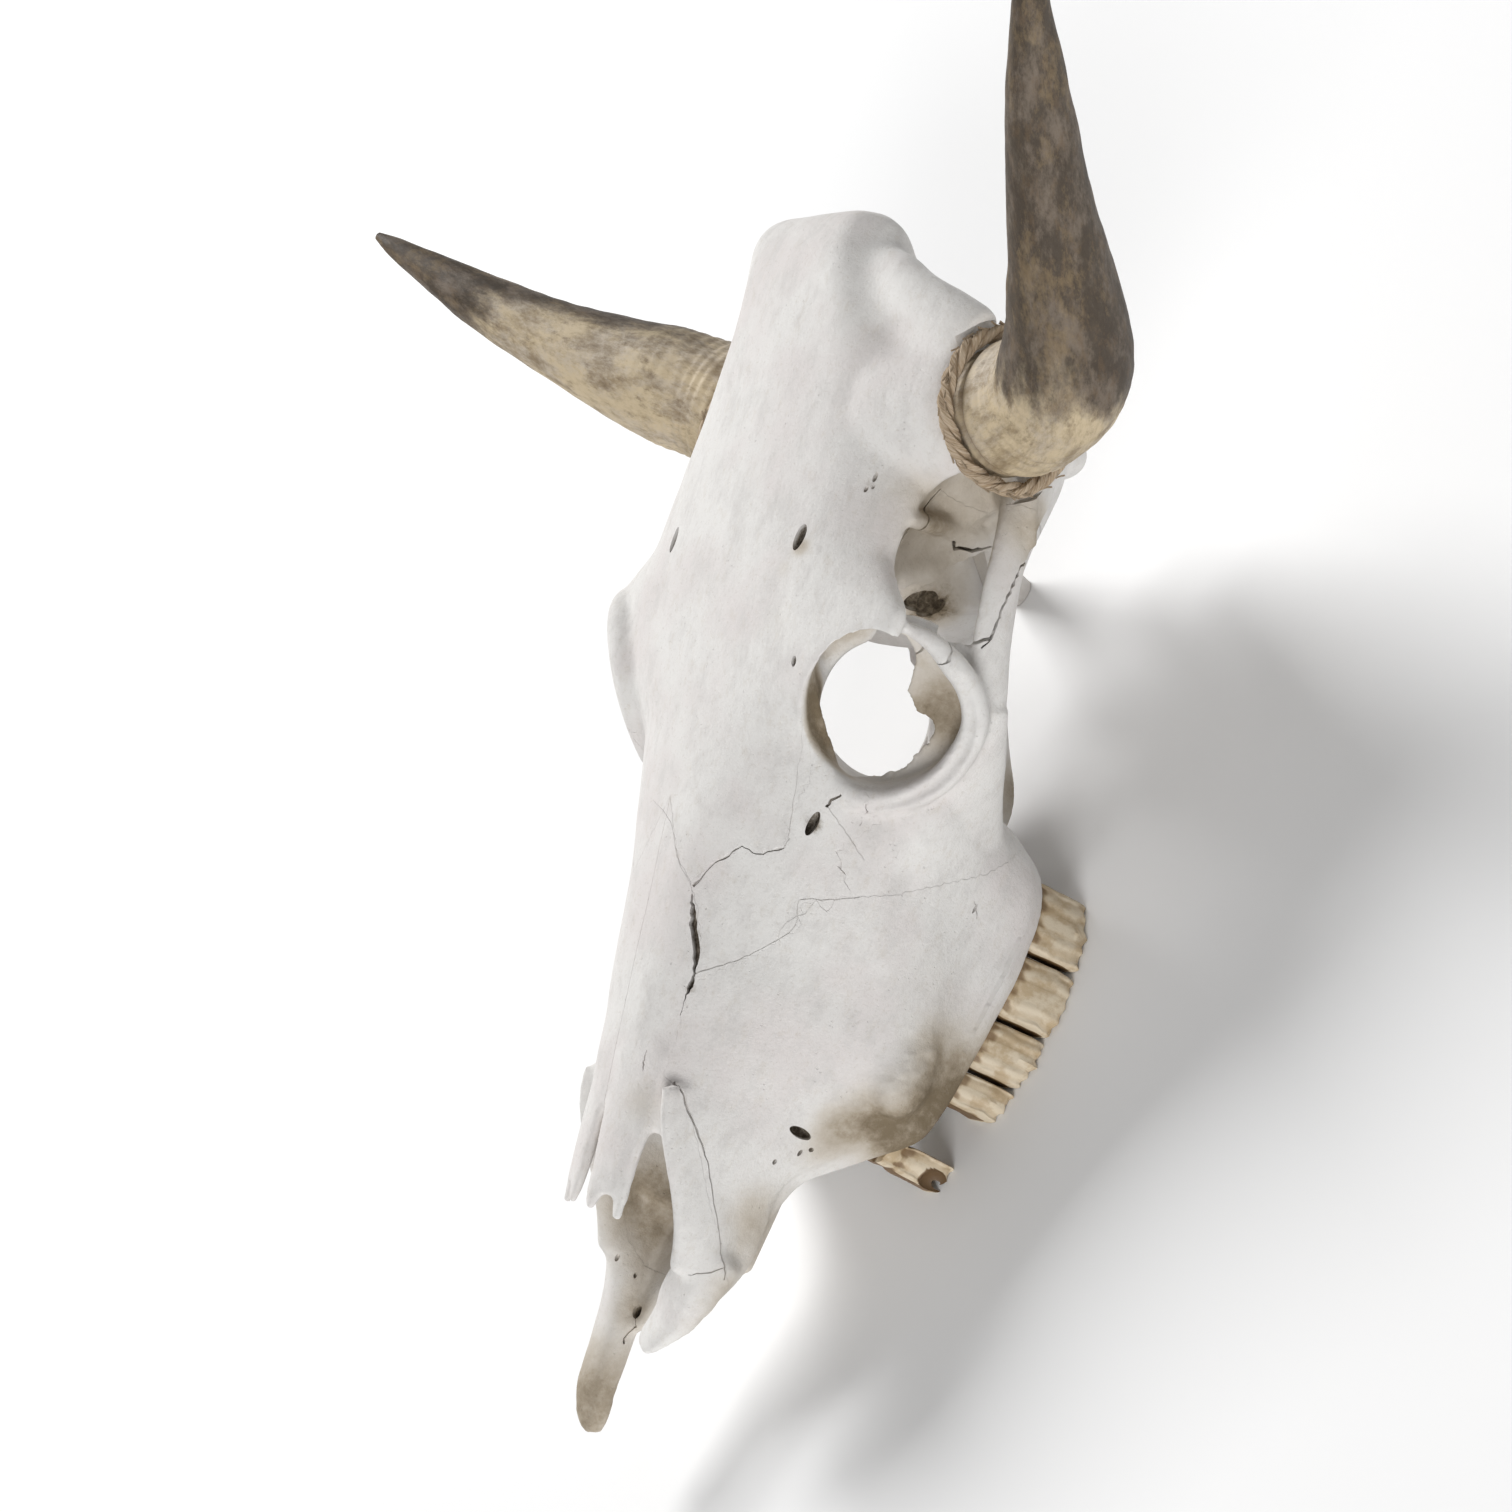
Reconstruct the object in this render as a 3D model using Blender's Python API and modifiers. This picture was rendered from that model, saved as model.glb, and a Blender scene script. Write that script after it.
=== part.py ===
"""Cow skull with horns, life size: the cranium without its lower jaw, laid on its teeth.

Millimetres below, turned into metres as each mesh is made. X is the skull's own left,
Y runs from the muzzle (0) to the crown, Z is up, and z = 0 is the chewing plane of the
cheek teeth and the foot of the right paracondylar process, which are what it rests on.
The bones are grown as one body and then parted along their seams, so they match.
"""
import math

import bmesh
import bpy
import numpy as np
from mathutils import Matrix, Vector

MM = 0.001

# ---- driving sizes -----------------------------------------------------------------------
CROWN_Y = 486.0             # muzzle tip to the back of the crown
SEAM = 0.35                 # gap left between neighbouring bones
VOXEL = 2.3                 # grain of the one-piece body before it is thinned
BODY_TRIANGLES = 2600       # triangles kept in the one-piece body
CROWN_LEAN = ((430, 0.0), (472, -7.0))      # the crown sits a little to the skull's right
SOLE_ALLOWANCE = 2.5        # length planed off the teeth and foot to make them level

ORBIT_CENTRE = (83.0, 288.0, 137.0)
ORBIT_NORMAL = (0.738, -0.526, 0.422)
ORBIT_RADIUS = 30.0
ORBIT_RIM = 5.5             # half thickness of the bony ring

HORN_RADIUS = ((0, 27), (0.08, 26.4), (0.2, 25.4), (0.35, 25.3), (0.5, 22.2), (0.7, 16.1), (0.85, 11.3), (1.0, 3.2))
HORN_LEFT = ((88.3, 416.6, 153.5), (158.0, 421.4, 156.2), (156.4, 417.7, 199.0), (240.3, 474.5, 324.7))
HORN_RIGHT = ((-82.9, 423.5, 150.3), (-118.8, 437.1, 171.8), (-154.9, 421.5, 191.8), (-276.5, 462.1, 278.1))
HORN_RIGHT_SCALE = 1.07     # the right horn is a little stouter
CORE_RADIUS = 24.5          # horn core, inside the sheath's foot
ROPE_RADIUS = 3.3
ROPE_STAND_OFF = 4.0        # middle of the rope above the foot of the sheath

CHEW_Z = 0.0
GUM_Z = 21.0                # where the crowns leave the jaw
TEETH = {                   # first y, last y, breadth, number of lobes
    "P2": (143.0, 156.0, 13.0, 1),
    "P3": (159.0, 175.0, 17.0, 1),
    "P4": (176.5, 191.5, 20.0, 1),
    "M1": (192.5, 215.0, 23.0, 2),
    "M2": (216.0, 244.5, 24.0, 2),
    "M3": (245.5, 277.0, 22.0, 2),
}
# Outer edge of the tooth row against y, at the gum and, flared out, at the chewing plane.
ROW_GUM_HALF = ((143, 53), (156, 58), (176, 66), (192, 70), (213, 74), (232, 75.5), (247, 74.5), (263, 71),
                (277, 65))
ROW_CHEW_HALF = ((143, 59), (156, 64), (176, 74), (192, 80.5), (213, 85.5), (232, 87), (247, 85.5), (263, 80.5),
                 (277, 73.5))

# Profiles of the face, each a height or half breadth against y.
PALATE_Z = ((96, 51), (120, 48), (140, 35), (160, 24), (182, GUM_Z), (255, GUM_Z), (276, 24), (288, 36))
GUM_HALF = ((96, 28), (120, 34), (140, 49), (159, 67.5), (182, 70), (213, 74), (232, 75.5), (250, 75), (266, 72),
            (278, 66), (288, 57))
CHEEK_HALF = ((96, 37), (120, 42), (140, 53), (160, 67), (184, 79), (208, 77), (235, 78), (262, 86), (288, 92))
CHEEK_Z = ((96, 64), (120, 62), (140, 52), (160, 46), (184, 48), (208, 62), (235, 82), (262, 100), (288, 100))
FLANK_HALF = ((96, 37), (120, 41), (140, 46), (160, 54), (184, 63), (208, 66), (235, 69), (262, 72), (288, 70))
FLANK_Z = ((96, 84), (120, 88), (140, 84), (160, 84), (184, 84), (208, 96), (235, 110), (262, 120), (288, 122))
SHOULDER_HALF = ((96, 22), (120, 23), (160, 24), (208, 27), (235, 34), (262, 42), (288, 50))
SHOULDER_Z = ((96, 108), (120, 115), (160, 128), (208, 142), (235, 150), (262, 157), (288, 166))
FACE_ROOF_Z = ((96, 119), (120, 127), (160, 139), (208, 152), (235, 160), (262, 168), (288, 175))

# Profiles of the forehead plate.
BROW_HALF = ((232, 32), (262, 48), (286, 74), (304, 94), (320, 96), (334, 84), (348, 74), (400, 71),
             (426, 64), (446, 56), (460, 50), (470, 45), (480, 40), (CROWN_Y, 30))
BROW_EDGE_Z = ((232, 143), (262, 149), (286, 159), (322, 163), (356, 164), (400, 165), (430, 172),
               (455, 181), (472, 194), (CROWN_Y, 202))
BROW_MID_Z = ((232, 159), (262, 168), (304, 181), (341, 191), (400, 204), (436, 215), (456, 219),
              (470, 218), (480, 215), (CROWN_Y, 208))
BROW_UNDER_Z = ((232, 132), (262, 134), (304, 142), (341, 136), (356, 128), (400, 112), (440, 118),
                (464, 150), (CROWN_Y, 188))
# How flat the forehead is across: the drop of its shoulder as a share of the whole drop.
BROW_SHOULDER = ((232, 0.34), (300, 0.36), (400, 0.28), (440, 0.14), (460, 0.12), (CROWN_Y, 0.16))
# The right side of the forehead and of the nose stands out further than the left.
BROW_RIGHT_MORE = ((296, 0), (334, 8), (372, 11), (405, 8), (436, -4), (452, -2), (470, 10), (CROWN_Y, 13))
BROW_RIGHT_LIFT = ((296, 0), (334, 5), (372, 7), (410, 5), (450, 0), (470, 5), (CROWN_Y, 5))
NOSE_RIGHT_MORE = ((112, 0), (130, 3.5), (208, 3.5), (250, 1.0), (280, 0))
RIGHT_ORBIT_SHIFT = (2.0, 6.0, 1.0)

# Profiles of the brain case, each side of the midline.
CASE_HALF = ((346, 30), (354, 44), (370, 55), (400, 60), (430, 62), (450, 54), (462, 42))
CASE_LOW_Z = ((346, 92), (354, 76), (370, 66), (400, 66), (430, 66), (450, 74), (462, 92))
CASE_HIGH_Z = ((346, 150), (354, 164), (400, 172), (430, 176), (462, 178))

# Profiles of the back wall against z.
NAPE_HALF = ((66, 34), (78, 48), (92, 64), (106, 78), (118, 86), (134, 82), (150, 66), (166, 54), (184, 44),
             (198, 32))
NAPE_LEFT_LESS = ((66, 12), (92, 12), (106, 9), (118, 5), (136, 0))      # broken away on the left
NAPE_BACK_Y = ((66, 440), (80, 446), (100, 450), (120, 452), (140, 456), (160, 464), (184, 475), (198, 480))
NAPE_FRONT_Y = ((66, 408), (80, 398), (100, 390), (120, 390), (140, 404), (160, 420), (198, 440))

# Seams between the bones, traced on the left side; the right side is their mirror image.
NASAL_SEAM = ((0.2, 60), (27, 60), (27, 112), (23.5, 130), (23.5, 146), (25, 165), (27, 182), (24, 197), (20, 206),
              (13, 213), (5, 227), (0.2, 236))
NASAL_UNDER_Z = ((60, 102), (128, 109), (165, 119), (206, 132), (236, 144))
LACRIMAL_SEAM = ((26, 170, 129), (44, 193, 120), (54, 206, 116), (56, 216, 118), (62, 221, 112), (67, 225, 106),
                 (64, 238, 121), (76, 258, 125), (71, 270, 142), (66, 276, 160), (59, 261, 152), (53, 243, 139),
                 (51, 231, 134), (42, 225, 139), (37, 226, 143), (28, 217, 145), (20, 207, 146), (24.5, 197, 139),
                 (27.5, 182, 133))
LACRIMAL_DEPTH = 15.0
INCISIVE_SEAM = ((-8, 20), (68, 20), (70, 55), (76, 66), (88, 75), (97, 86), (109, 96), (122, 107), (134, 119),
                 (136, 135), (-8, 135))
ZYGOMATIC_SEAM = ((259, 126), (247, 124), (238, 120), (225, 107), (234, 93), (245, 80), (260, 60), (284, 38),
                  (330, 60), (378, 110), (366, 121), (346, 124), (331, 124), (326, 129), (322, 139), (292, 139))
TEMPORAL_SEAM = ((323.5, 139), (327, 129.5), (332, 125), (346, 125), (366, 122), (380, 111), (345, 60), (345, 40),
                 (407, 40), (407, 149.5), (346, 149.5), (336, 141))
FRONTAL_ROOT = ((0, 237), (5, 228), (13, 214), (20, 207), (28, 217), (37, 226), (42, 225), (51, 231), (53, 243),
                (58, 259), (58, 346))
FRONTAL_SIDE = ((257, 158), (272, 152), (300, 140), (322, 140), (336, 142), (347, 150.5), (385, 150.5), (389, 124),
                (450, 124), (453, 150), (457, 178), (500, 178), (500, 260), (257, 260))
OCCIPITAL_SEAM = ((408, -10), (408, 123), (450.5, 123), (453.5, 150), (457.5, 177), (500, 177), (500, -10))

BONE_WHITE = (0.78, 0.74, 0.67, 1.0)
HORN_BROWN = (0.16, 0.13, 0.10, 1.0)
ROPE_TAN = (0.45, 0.34, 0.21, 1.0)


# ---- small tools -------------------------------------------------------------------------
def along(keys, at):
    """Smooth value through (place, value) keys with no overshoot."""
    xs = [float(k[0]) for k in keys]
    vs = [float(k[1]) for k in keys]
    if at <= xs[0]:
        return vs[0]
    if at >= xs[-1]:
        return vs[-1]
    slopes = [(vs[i + 1] - vs[i]) / (xs[i + 1] - xs[i]) for i in range(len(xs) - 1)]
    tangents = [slopes[0]]
    for i in range(1, len(slopes)):
        a, b = slopes[i - 1], slopes[i]
        tangents.append(0.0 if a * b <= 0 else 2 * a * b / (a + b))
    tangents.append(slopes[-1])
    i = max(k for k in range(len(xs) - 1) if xs[k] <= at)
    h = xs[i + 1] - xs[i]
    t = (at - xs[i]) / h
    return ((2 * t ** 3 - 3 * t ** 2 + 1) * vs[i] + (t ** 3 - 2 * t ** 2 + t) * h * tangents[i]
            + (3 * t ** 2 - 2 * t ** 3) * vs[i + 1] + (t ** 3 - t ** 2) * h * tangents[i + 1])


def through(rows, steps):
    """Catmull-Rom curve through rows of numbers."""
    r = np.array(rows, float)
    out = []
    for i in range(len(r) - 1):
        p0 = r[i - 1] if i > 0 else 2 * r[i] - r[i + 1]
        p1, p2 = r[i], r[i + 1]
        p3 = r[i + 2] if i + 2 < len(r) else 2 * r[i + 1] - r[i]
        for k in range(steps):
            t = k / steps
            out.append(0.5 * (2 * p1 + (p2 - p0) * t + (2 * p0 - 5 * p1 + 4 * p2 - p3) * t * t
                              + (3 * p1 - p0 - 3 * p2 + p3) * t ** 3))
    out.append(r[-1])
    return np.array(out)


def add_object(name, bm, collection=None):
    bmesh.ops.recalc_face_normals(bm, faces=bm.faces)
    bmesh.ops.triangulate(bm, faces=bm.faces)
    mesh = bpy.data.meshes.new(name)
    bm.to_mesh(mesh)
    bm.free()
    obj = bpy.data.objects.new(name, mesh)
    (collection or bpy.context.scene.collection).objects.link(obj)
    return obj


def loft(name, rings):
    """Closed solid through rings of points in millimetres."""
    bm = bmesh.new()
    loops = [[bm.verts.new(Vector(p) * MM) for p in ring] for ring in rings]
    for a, b in zip(loops, loops[1:]):
        for i in range(len(a)):
            j = (i + 1) % len(a)
            bm.faces.new((a[i], a[j], b[j], b[i]))
    bm.faces.new(loops[0][::-1])
    bm.faces.new(loops[-1])
    return add_object(name, bm)


def superellipse(count, half_a, half_b, power):
    pairs = []
    for k in range(count):
        angle = 2 * math.pi * k / count
        c, s = math.cos(angle), math.sin(angle)
        pairs.append((half_a * math.copysign(abs(c) ** (2 / power), c),
                      half_b * math.copysign(abs(s) ** (2 / power), s)))
    return pairs


def tube(name, rows, side=(1, 0, 0), steps=4, power=2.0, count=16, mirror=1):
    """Solid along rows of x, y, z, half size along the side direction, half size across it."""
    path = through(rows, steps)
    points = path[:, :3].copy()
    points[:, 0] *= mirror
    tangents = np.gradient(points, axis=0)
    reference = np.array((side[0] * mirror, side[1], side[2]), float)
    rings = []
    for point, tangent, (a, b) in zip(points, tangents, path[:, 3:5]):
        tangent = tangent / np.linalg.norm(tangent)
        first = reference - tangent * (reference @ tangent)
        first = first / np.linalg.norm(first)
        second = np.cross(tangent, first)
        rings.append([point + first * u + second * v
                      for u, v in superellipse(count, max(a, 0.4), max(b, 0.4), power)])
    return loft(name, rings)


def ball(name, centre, radii, turn=(0, 0, 0), mirror=1):
    bm = bmesh.new()
    bmesh.ops.create_uvsphere(bm, u_segments=20, v_segments=12, radius=1)
    bmesh.ops.scale(bm, vec=Vector(radii) * MM, verts=bm.verts)
    spin = (Matrix.Rotation(math.radians(turn[2]), 3, 'Z') @ Matrix.Rotation(math.radians(turn[1]), 3, 'Y')
            @ Matrix.Rotation(math.radians(turn[0]), 3, 'X'))
    bmesh.ops.transform(bm, matrix=spin.to_4x4(), verts=bm.verts)
    bmesh.ops.translate(bm, vec=Vector(centre) * MM, verts=bm.verts)
    if mirror < 0:
        bmesh.ops.scale(bm, vec=(-1, 1, 1), verts=bm.verts)
    return add_object(name, bm)


def prism(name, outline, axis, low, high, grow=0.0, mirror=1):
    """Solid over a closed outline: axis 'Z' takes (x, y) points, 'X' takes (y, z) points."""
    points = np.array(outline, float)
    if grow:
        before = points - np.roll(points, 1, axis=0)
        after = np.roll(points, -1, axis=0) - points
        area = 0.5 * np.sum(points[:, 0] * np.roll(points[:, 1], -1) - np.roll(points[:, 0], -1) * points[:, 1])
        normals = []
        for a, b in zip(before, after):
            na = np.array((a[1], -a[0])) / np.linalg.norm(a)
            nb = np.array((b[1], -b[0])) / np.linalg.norm(b)
            n = na + nb
            n = n / max(np.linalg.norm(n), 1e-6)
            normals.append(n / max(n @ na, 0.5))
        points = points + np.array(normals) * grow * (1 if area > 0 else -1)
    rings = []
    for level in (low - grow, high + grow):
        if axis == 'Z':
            rings.append([(mirror * p[0], p[1], level) for p in points])
        else:
            rings.append([(mirror * level, p[0], p[1]) for p in points])
    return loft(name, rings)


def use_modifier(obj, kind, **settings):
    modifier = obj.modifiers.new(kind, kind)
    for key, value in settings.items():
        setattr(modifier, key, value)
    graph = bpy.context.evaluated_depsgraph_get()
    mesh = bpy.data.meshes.new_from_object(obj.evaluated_get(graph))
    obj.modifiers.clear()
    old = obj.data
    obj.data = mesh
    bpy.data.meshes.remove(old)
    return obj


def boolean(obj, tool, operation, keep_tool=False, solver='EXACT'):
    use_modifier(obj, 'BOOLEAN', object=tool, operation=operation, solver=solver)
    if not keep_tool:
        bpy.data.objects.remove(tool, do_unlink=True)
    return obj


def copy_of(obj, name):
    other = bpy.data.objects.new(name, obj.data.copy())
    bpy.context.scene.collection.objects.link(other)
    return other


def join_all(name, objects):
    """One object holding the shells of many; they may overlap until remeshed."""
    bm = bmesh.new()
    for obj in objects:
        bm.from_mesh(obj.data)
        bpy.data.objects.remove(obj, do_unlink=True)
    return add_object(name, bm)


def biggest_piece(obj):
    """Drop crumbs that a cut leaves beside the bone."""
    bm = bmesh.new()
    bm.from_mesh(obj.data)
    left = set(bm.faces)
    pieces = []
    while left:
        stack = [left.pop()]
        piece = set(stack)
        while stack:
            for edge in stack.pop().edges:
                for face in edge.link_faces:
                    if face in left:
                        left.discard(face)
                        piece.add(face)
                        stack.append(face)
        pieces.append(piece)
    pieces.sort(key=lambda faces: sum(face.calc_area() for face in faces), reverse=True)
    extra = [face for piece in pieces[1:] for face in piece]
    if extra:
        bmesh.ops.delete(bm, geom=extra, context='FACES')
    bm.to_mesh(obj.data)
    bm.free()
    return obj


# ---- the one-piece body ------------------------------------------------------------------
def mirrored_ring(y, half, per=2):
    """Closed ring across the skull from a half outline running bottom to top midline."""
    fine = through(half, per)
    right = [(x, y, z) for x, z in fine]
    left = [(-x, y, z) for x, z in fine[1:-1][::-1]]
    return right + left


def face_block():
    rings = []
    for y in np.linspace(PALATE_Z[0][0], PALATE_Z[-1][0], 26):
        gum, low = along(GUM_HALF, y), along(PALATE_Z, y)
        cheek, cheek_z = along(CHEEK_HALF, y), along(CHEEK_Z, y)
        flank, flank_z = along(FLANK_HALF, y), along(FLANK_Z, y)
        shoulder, shoulder_z = along(SHOULDER_HALF, y), along(SHOULDER_Z, y)
        roof = along(FACE_ROOF_Z, y)
        half = [(0, low), (gum * 0.55, low), (gum, low), (gum + (cheek - gum) * 0.35, low + (cheek_z - low) * 0.5),
                (cheek, cheek_z), (flank, flank_z),
                ((flank + shoulder) / 2 + 3, (flank_z + shoulder_z) / 2 + 3),
                (shoulder, shoulder_z), (shoulder * 0.5, roof - (roof - shoulder_z) * 0.2), (0, roof)]
        ring = []
        for x, _, z in mirrored_ring(y, half):
            share = min(max(-x / shoulder, 0), 1) * min(max((z - flank_z) / (shoulder_z - flank_z), 0), 1)
            ring.append((x - along(NOSE_RIGHT_MORE, y) * share, y, z + along(NOSE_RIGHT_MORE, y) * 0.4 * share))
        rings.append(ring)
    return loft("face", rings)


def brow_plate():
    rings = []
    for y in np.linspace(BROW_HALF[0][0], CROWN_Y, 34):
        half, edge = along(BROW_HALF, y), along(BROW_EDGE_Z, y)
        mid, under = along(BROW_MID_Z, y), along(BROW_UNDER_Z, y)
        lean = along(CROWN_LEAN, y)
        outline = [(0, under), (half * 0.5, under), (half * 0.8, under + (edge - under) * 0.45),
                   (half * 0.97, edge - 7), (half, edge - 2), (half * 0.94, edge + (mid - edge) * 0.18),
                   (half * 0.66, mid - (mid - edge) * along(BROW_SHOULDER, y)),
                   (half * 0.33, mid - (mid - edge) * along(BROW_SHOULDER, y) * 0.26), (0, mid)]
        more, lift = along(BROW_RIGHT_MORE, y), along(BROW_RIGHT_LIFT, y)
        ring = []
        for x, _, z in mirrored_ring(y, outline):
            share = max(-x / half, 0) ** 2
            ring.append((x + lean - more * share, y, z + lift * share))
        rings.append(ring)
    return loft("brow", rings)


def brain_case():
    rings = []
    for y in np.linspace(CASE_HALF[0][0], CASE_HALF[-1][0], 14):
        half = along(CASE_HALF, y)
        low, high = along(CASE_LOW_Z, y), along(CASE_HIGH_Z, y)
        rings.append([(u, y, (low + high) / 2 + v) for u, v in superellipse(28, half, (high - low) / 2, 2.2)])
    return loft("case", rings)


def nape_wall():
    rings = []
    for z in np.linspace(NAPE_HALF[0][0], NAPE_HALF[-1][0], 14):
        half = along(NAPE_HALF, z)
        front, back = along(NAPE_FRONT_Y, z), along(NAPE_BACK_Y, z)
        less = along(NAPE_LEFT_LESS, z)
        rings.append([(u - less * max(u / half, 0), (front + back) / 2 + v, z)
                      for u, v in superellipse(32, half, (back - front) / 2, 3.0)])
    return loft("nape", rings)


def orbit_axes():
    normal = Vector(ORBIT_NORMAL).normalized()
    first = (Vector((0, 1, 0)) - normal * normal.y).normalized()
    return normal, first, normal.cross(first)


def orbit_centre(mirror):
    """Middle of the eye socket as it would be on the left side."""
    return Vector(ORBIT_CENTRE) + (Vector() if mirror > 0 else Vector(RIGHT_ORBIT_SHIFT))


def orbit_ring(mirror):
    """The bony ring round the eye socket."""
    normal, first, second = orbit_axes()
    rings = []
    for k in range(32):
        angle = 2 * math.pi * k / 32
        out = first * math.cos(angle) + second * math.sin(angle)
        middle = orbit_centre(mirror) + out * (ORBIT_RADIUS + ORBIT_RIM * 0.8)
        ring = [middle + out * u + normal * v for u, v in superellipse(12, ORBIT_RIM, ORBIT_RIM * 1.2, 2.0)]
        rings.append([(p.x * mirror, p.y, p.z) for p in ring])
    bm = bmesh.new()
    loops = [[bm.verts.new(Vector(p) * MM) for p in ring] for ring in rings]
    for a, b in zip(loops, loops[1:] + loops[:1]):
        for i in range(len(a)):
            j = (i + 1) % len(a)
            bm.faces.new((a[i], a[j], b[j], b[i]))
    return add_object("orbit_ring", bm)


def orbit_cut(mirror):
    """Eye socket: a short cone that opens into the gap behind the face."""
    normal, first, second = orbit_axes()
    rings = []
    for depth, radius in ((30, ORBIT_RADIUS + 5), (6, ORBIT_RADIUS), (-14, ORBIT_RADIUS - 1), (-32, 26)):
        middle = orbit_centre(mirror) + normal * depth + Vector((0, 0.12 * max(-depth, 0), 0))
        ring = [middle + first * u + second * v for u, v in superellipse(24, radius, radius, 2.0)]
        rings.append([(p.x * mirror, p.y, p.z) for p in ring])
    return loft("orbit_cut", rings)


def incisive(mirror, broken):
    """Toothless front bone: a blade up the side of the nose, a side bar and a palate plate."""
    blade = [(29, 134, 116, 3.4, 9), (31, 120, 108, 3.4, 11), (35, 100, 84, 4, 14), (37, 86, 72, 5, 13),
             (37, 70, 66, 6, 9)]
    parts = [tube("blade", blade, mirror=mirror)]
    if broken:
        body = [(33, 84, 68, 9, 12), (27, 67, 68, 12, 7.5), (20.5, 54, 67, 10.5, 5), (14.5, 45, 67, 8, 3.5),
                (10, 39, 67, 4.5, 2.5)]
    else:
        body = [(36, 78, 62, 6, 12), (35, 58, 54, 8, 10), (35, 36, 50, 9, 8), (37, 18, 46, 9.5, 7), (38, 7, 41, 8, 5.5),
                (38.5, 1.5, 38, 5, 3.5)]
    parts.append(tube("body", body, mirror=mirror, power=2.3))
    floor = [(0, 118), (28, 118), (28, 84), (20, 78), (8, 68), (0, 62)]
    wall = [(33, 114, 63, 4, 8), (32, 86, 60, 4.5, 8), (26, 66, 62, 5, 6), (15, 52, 64, 5, 5), (8, 44, 65, 3.5, 4)]
    if not broken:
        floor = [(0, 118), (28, 118), (33, 84), (34, 44), (28, 42), (14, 52), (0, 62)]
        wall = [(33, 114, 63, 4, 8), (34, 86, 57, 4.5, 8), (34, 60, 54, 5, 7), (32, 46, 51, 6, 6)]
    parts.append(prism("floor", floor, 'Z', 46, 51.5, mirror=mirror))
    parts.append(tube("wall", wall, mirror=mirror))
    parts.append(tube("bridge", [(10, 106, 48, 9, 5), (24, 102, 53, 10, 5), (34, 100, 60, 10, 5)], side=(0, 1, 0),
                      mirror=mirror))
    return parts


def nasal_tip(mirror):
    """Front of one nose bone, tilted like a roof, with its two prongs."""
    tilt = (1, 0, -0.42)
    return [
        tube("nasal", [(11, 152, 127, 9, 4), (12, 142, 127, 12, 4.6), (12, 128, 123, 12.5, 4.4), (12, 112, 120, 11.5, 4),
                       (11.5, 96, 117.5, 9, 3.4), (11, 89, 116.5, 7, 3)], side=tilt, mirror=mirror, power=2.3),
        tube("prong_in", [(7.5, 100, 119, 5, 3), (7, 86, 117, 4, 2.6), (6.5, 77, 115.5, 2, 1.6)], side=tilt,
             mirror=mirror),
        tube("prong_out", [(16, 104, 116, 5, 3), (17.5, 90, 113, 4, 2.6), (19, 77, 110, 1.8, 1.5)], side=tilt,
             mirror=mirror),
    ]


def tooth(name, mirror):
    """One cheek tooth: an upright block of one or two lobes, grooved down both sides."""
    first, last, breadth, lobes = TEETH[name]
    rings = []
    for z, flare, inset in ((GUM_Z + 9, 0.0, 1.0), (GUM_Z, 0.0, 0.0), (4.0, 0.85, 0.0),
                            (CHEW_Z - SOLE_ALLOWANCE, 1.0, 0.0)):
        ring = []
        for k in range(28):
            share = k / 14 if k < 14 else 2 - k / 14
            y = first + inset + (last - first - 2 * inset) * share
            outer = along(ROW_GUM_HALF, y) * (1 - flare) + along(ROW_CHEW_HALF, y) * flare
            swell = 2.0 * abs(math.sin(math.pi * lobes * share)) ** 0.6
            x = outer - 2.0 + swell - inset if k < 14 else outer - breadth + 2.0 - swell + inset
            ring.append((mirror * x, y, z))
        rings.append(ring)
    return loft("tooth", rings)


def lower_bar():
    """Palate bones, wings and floor of the brain case in one beam under the open gap."""
    beam = [(0, 262, 38, 34, 10), (0, 285, 36, 27, 9), (0, 306, 38, 17, 9), (0, 328, 44, 14, 9), (0, 348, 60, 16, 14),
            (0, 372, 70, 22, 16), (0, 404, 74, 26, 16), (0, 436, 76, 28, 14)]
    parts = [tube("beam", beam, power=2.4)]
    for mirror in (1, -1):
        wing = [(25, 268, 31, 4, 10), (24, 290, 27, 3, 9), (23, 308, 27, 3, 9), (20, 326, 38, 3.5, 9),
                (19, 346, 56, 6, 12)]
        parts.append(tube("wing", wing, mirror=mirror))
    return parts


def horn_curve(mirror):
    """Control points of a horn's middle line."""
    return [Vector(p) for p in (HORN_LEFT if mirror > 0 else HORN_RIGHT)]


def horn_radius(mirror, s):
    """Radius of the sheath at a share of its middle line."""
    return along(HORN_RADIUS, s) * (1.0 if mirror > 0 else HORN_RIGHT_SCALE)


def on_curve(points, s):
    a, b, c, d = points
    place = a * (1 - s) ** 3 + b * 3 * s * (1 - s) ** 2 + c * 3 * s * s * (1 - s) + d * s ** 3
    slope = (b - a) * (1 - s) ** 2 + (c - b) * 2 * s * (1 - s) + (d - c) * s * s
    return place, slope.normalized()


def horn_frame(points, s):
    place, ahead = on_curve(points, s)
    first = (Vector((0, 1, 0)) - ahead * ahead.y).normalized()
    return place, ahead, first, ahead.cross(first)


def horn_ring(points, s, radius, count, shift=0.0):
    place, ahead, first, second = horn_frame(points, s)
    return [place + ahead * shift + first * u + second * v for u, v in superellipse(count, radius, radius, 2.0)]


def horn_core(mirror):
    points = horn_curve(mirror)
    rings = []
    for back, grow in ((-38, 19.5), (-26, 15.5), (-16, 12), (-6, 8), (-1, 4), (2.5, 0)):
        rings.append(horn_ring(points, 0, CORE_RADIUS + grow, 24, back))
    return loft("core", rings)


def horn_clearance(mirror):
    """Room for the sheath's foot and the rope, taken off the core."""
    points = horn_curve(mirror)
    return loft("clearance", [horn_ring(points, 0, horn_radius(mirror, 0) + 9, 24, d) for d in (-SEAM, 40)])


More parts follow.
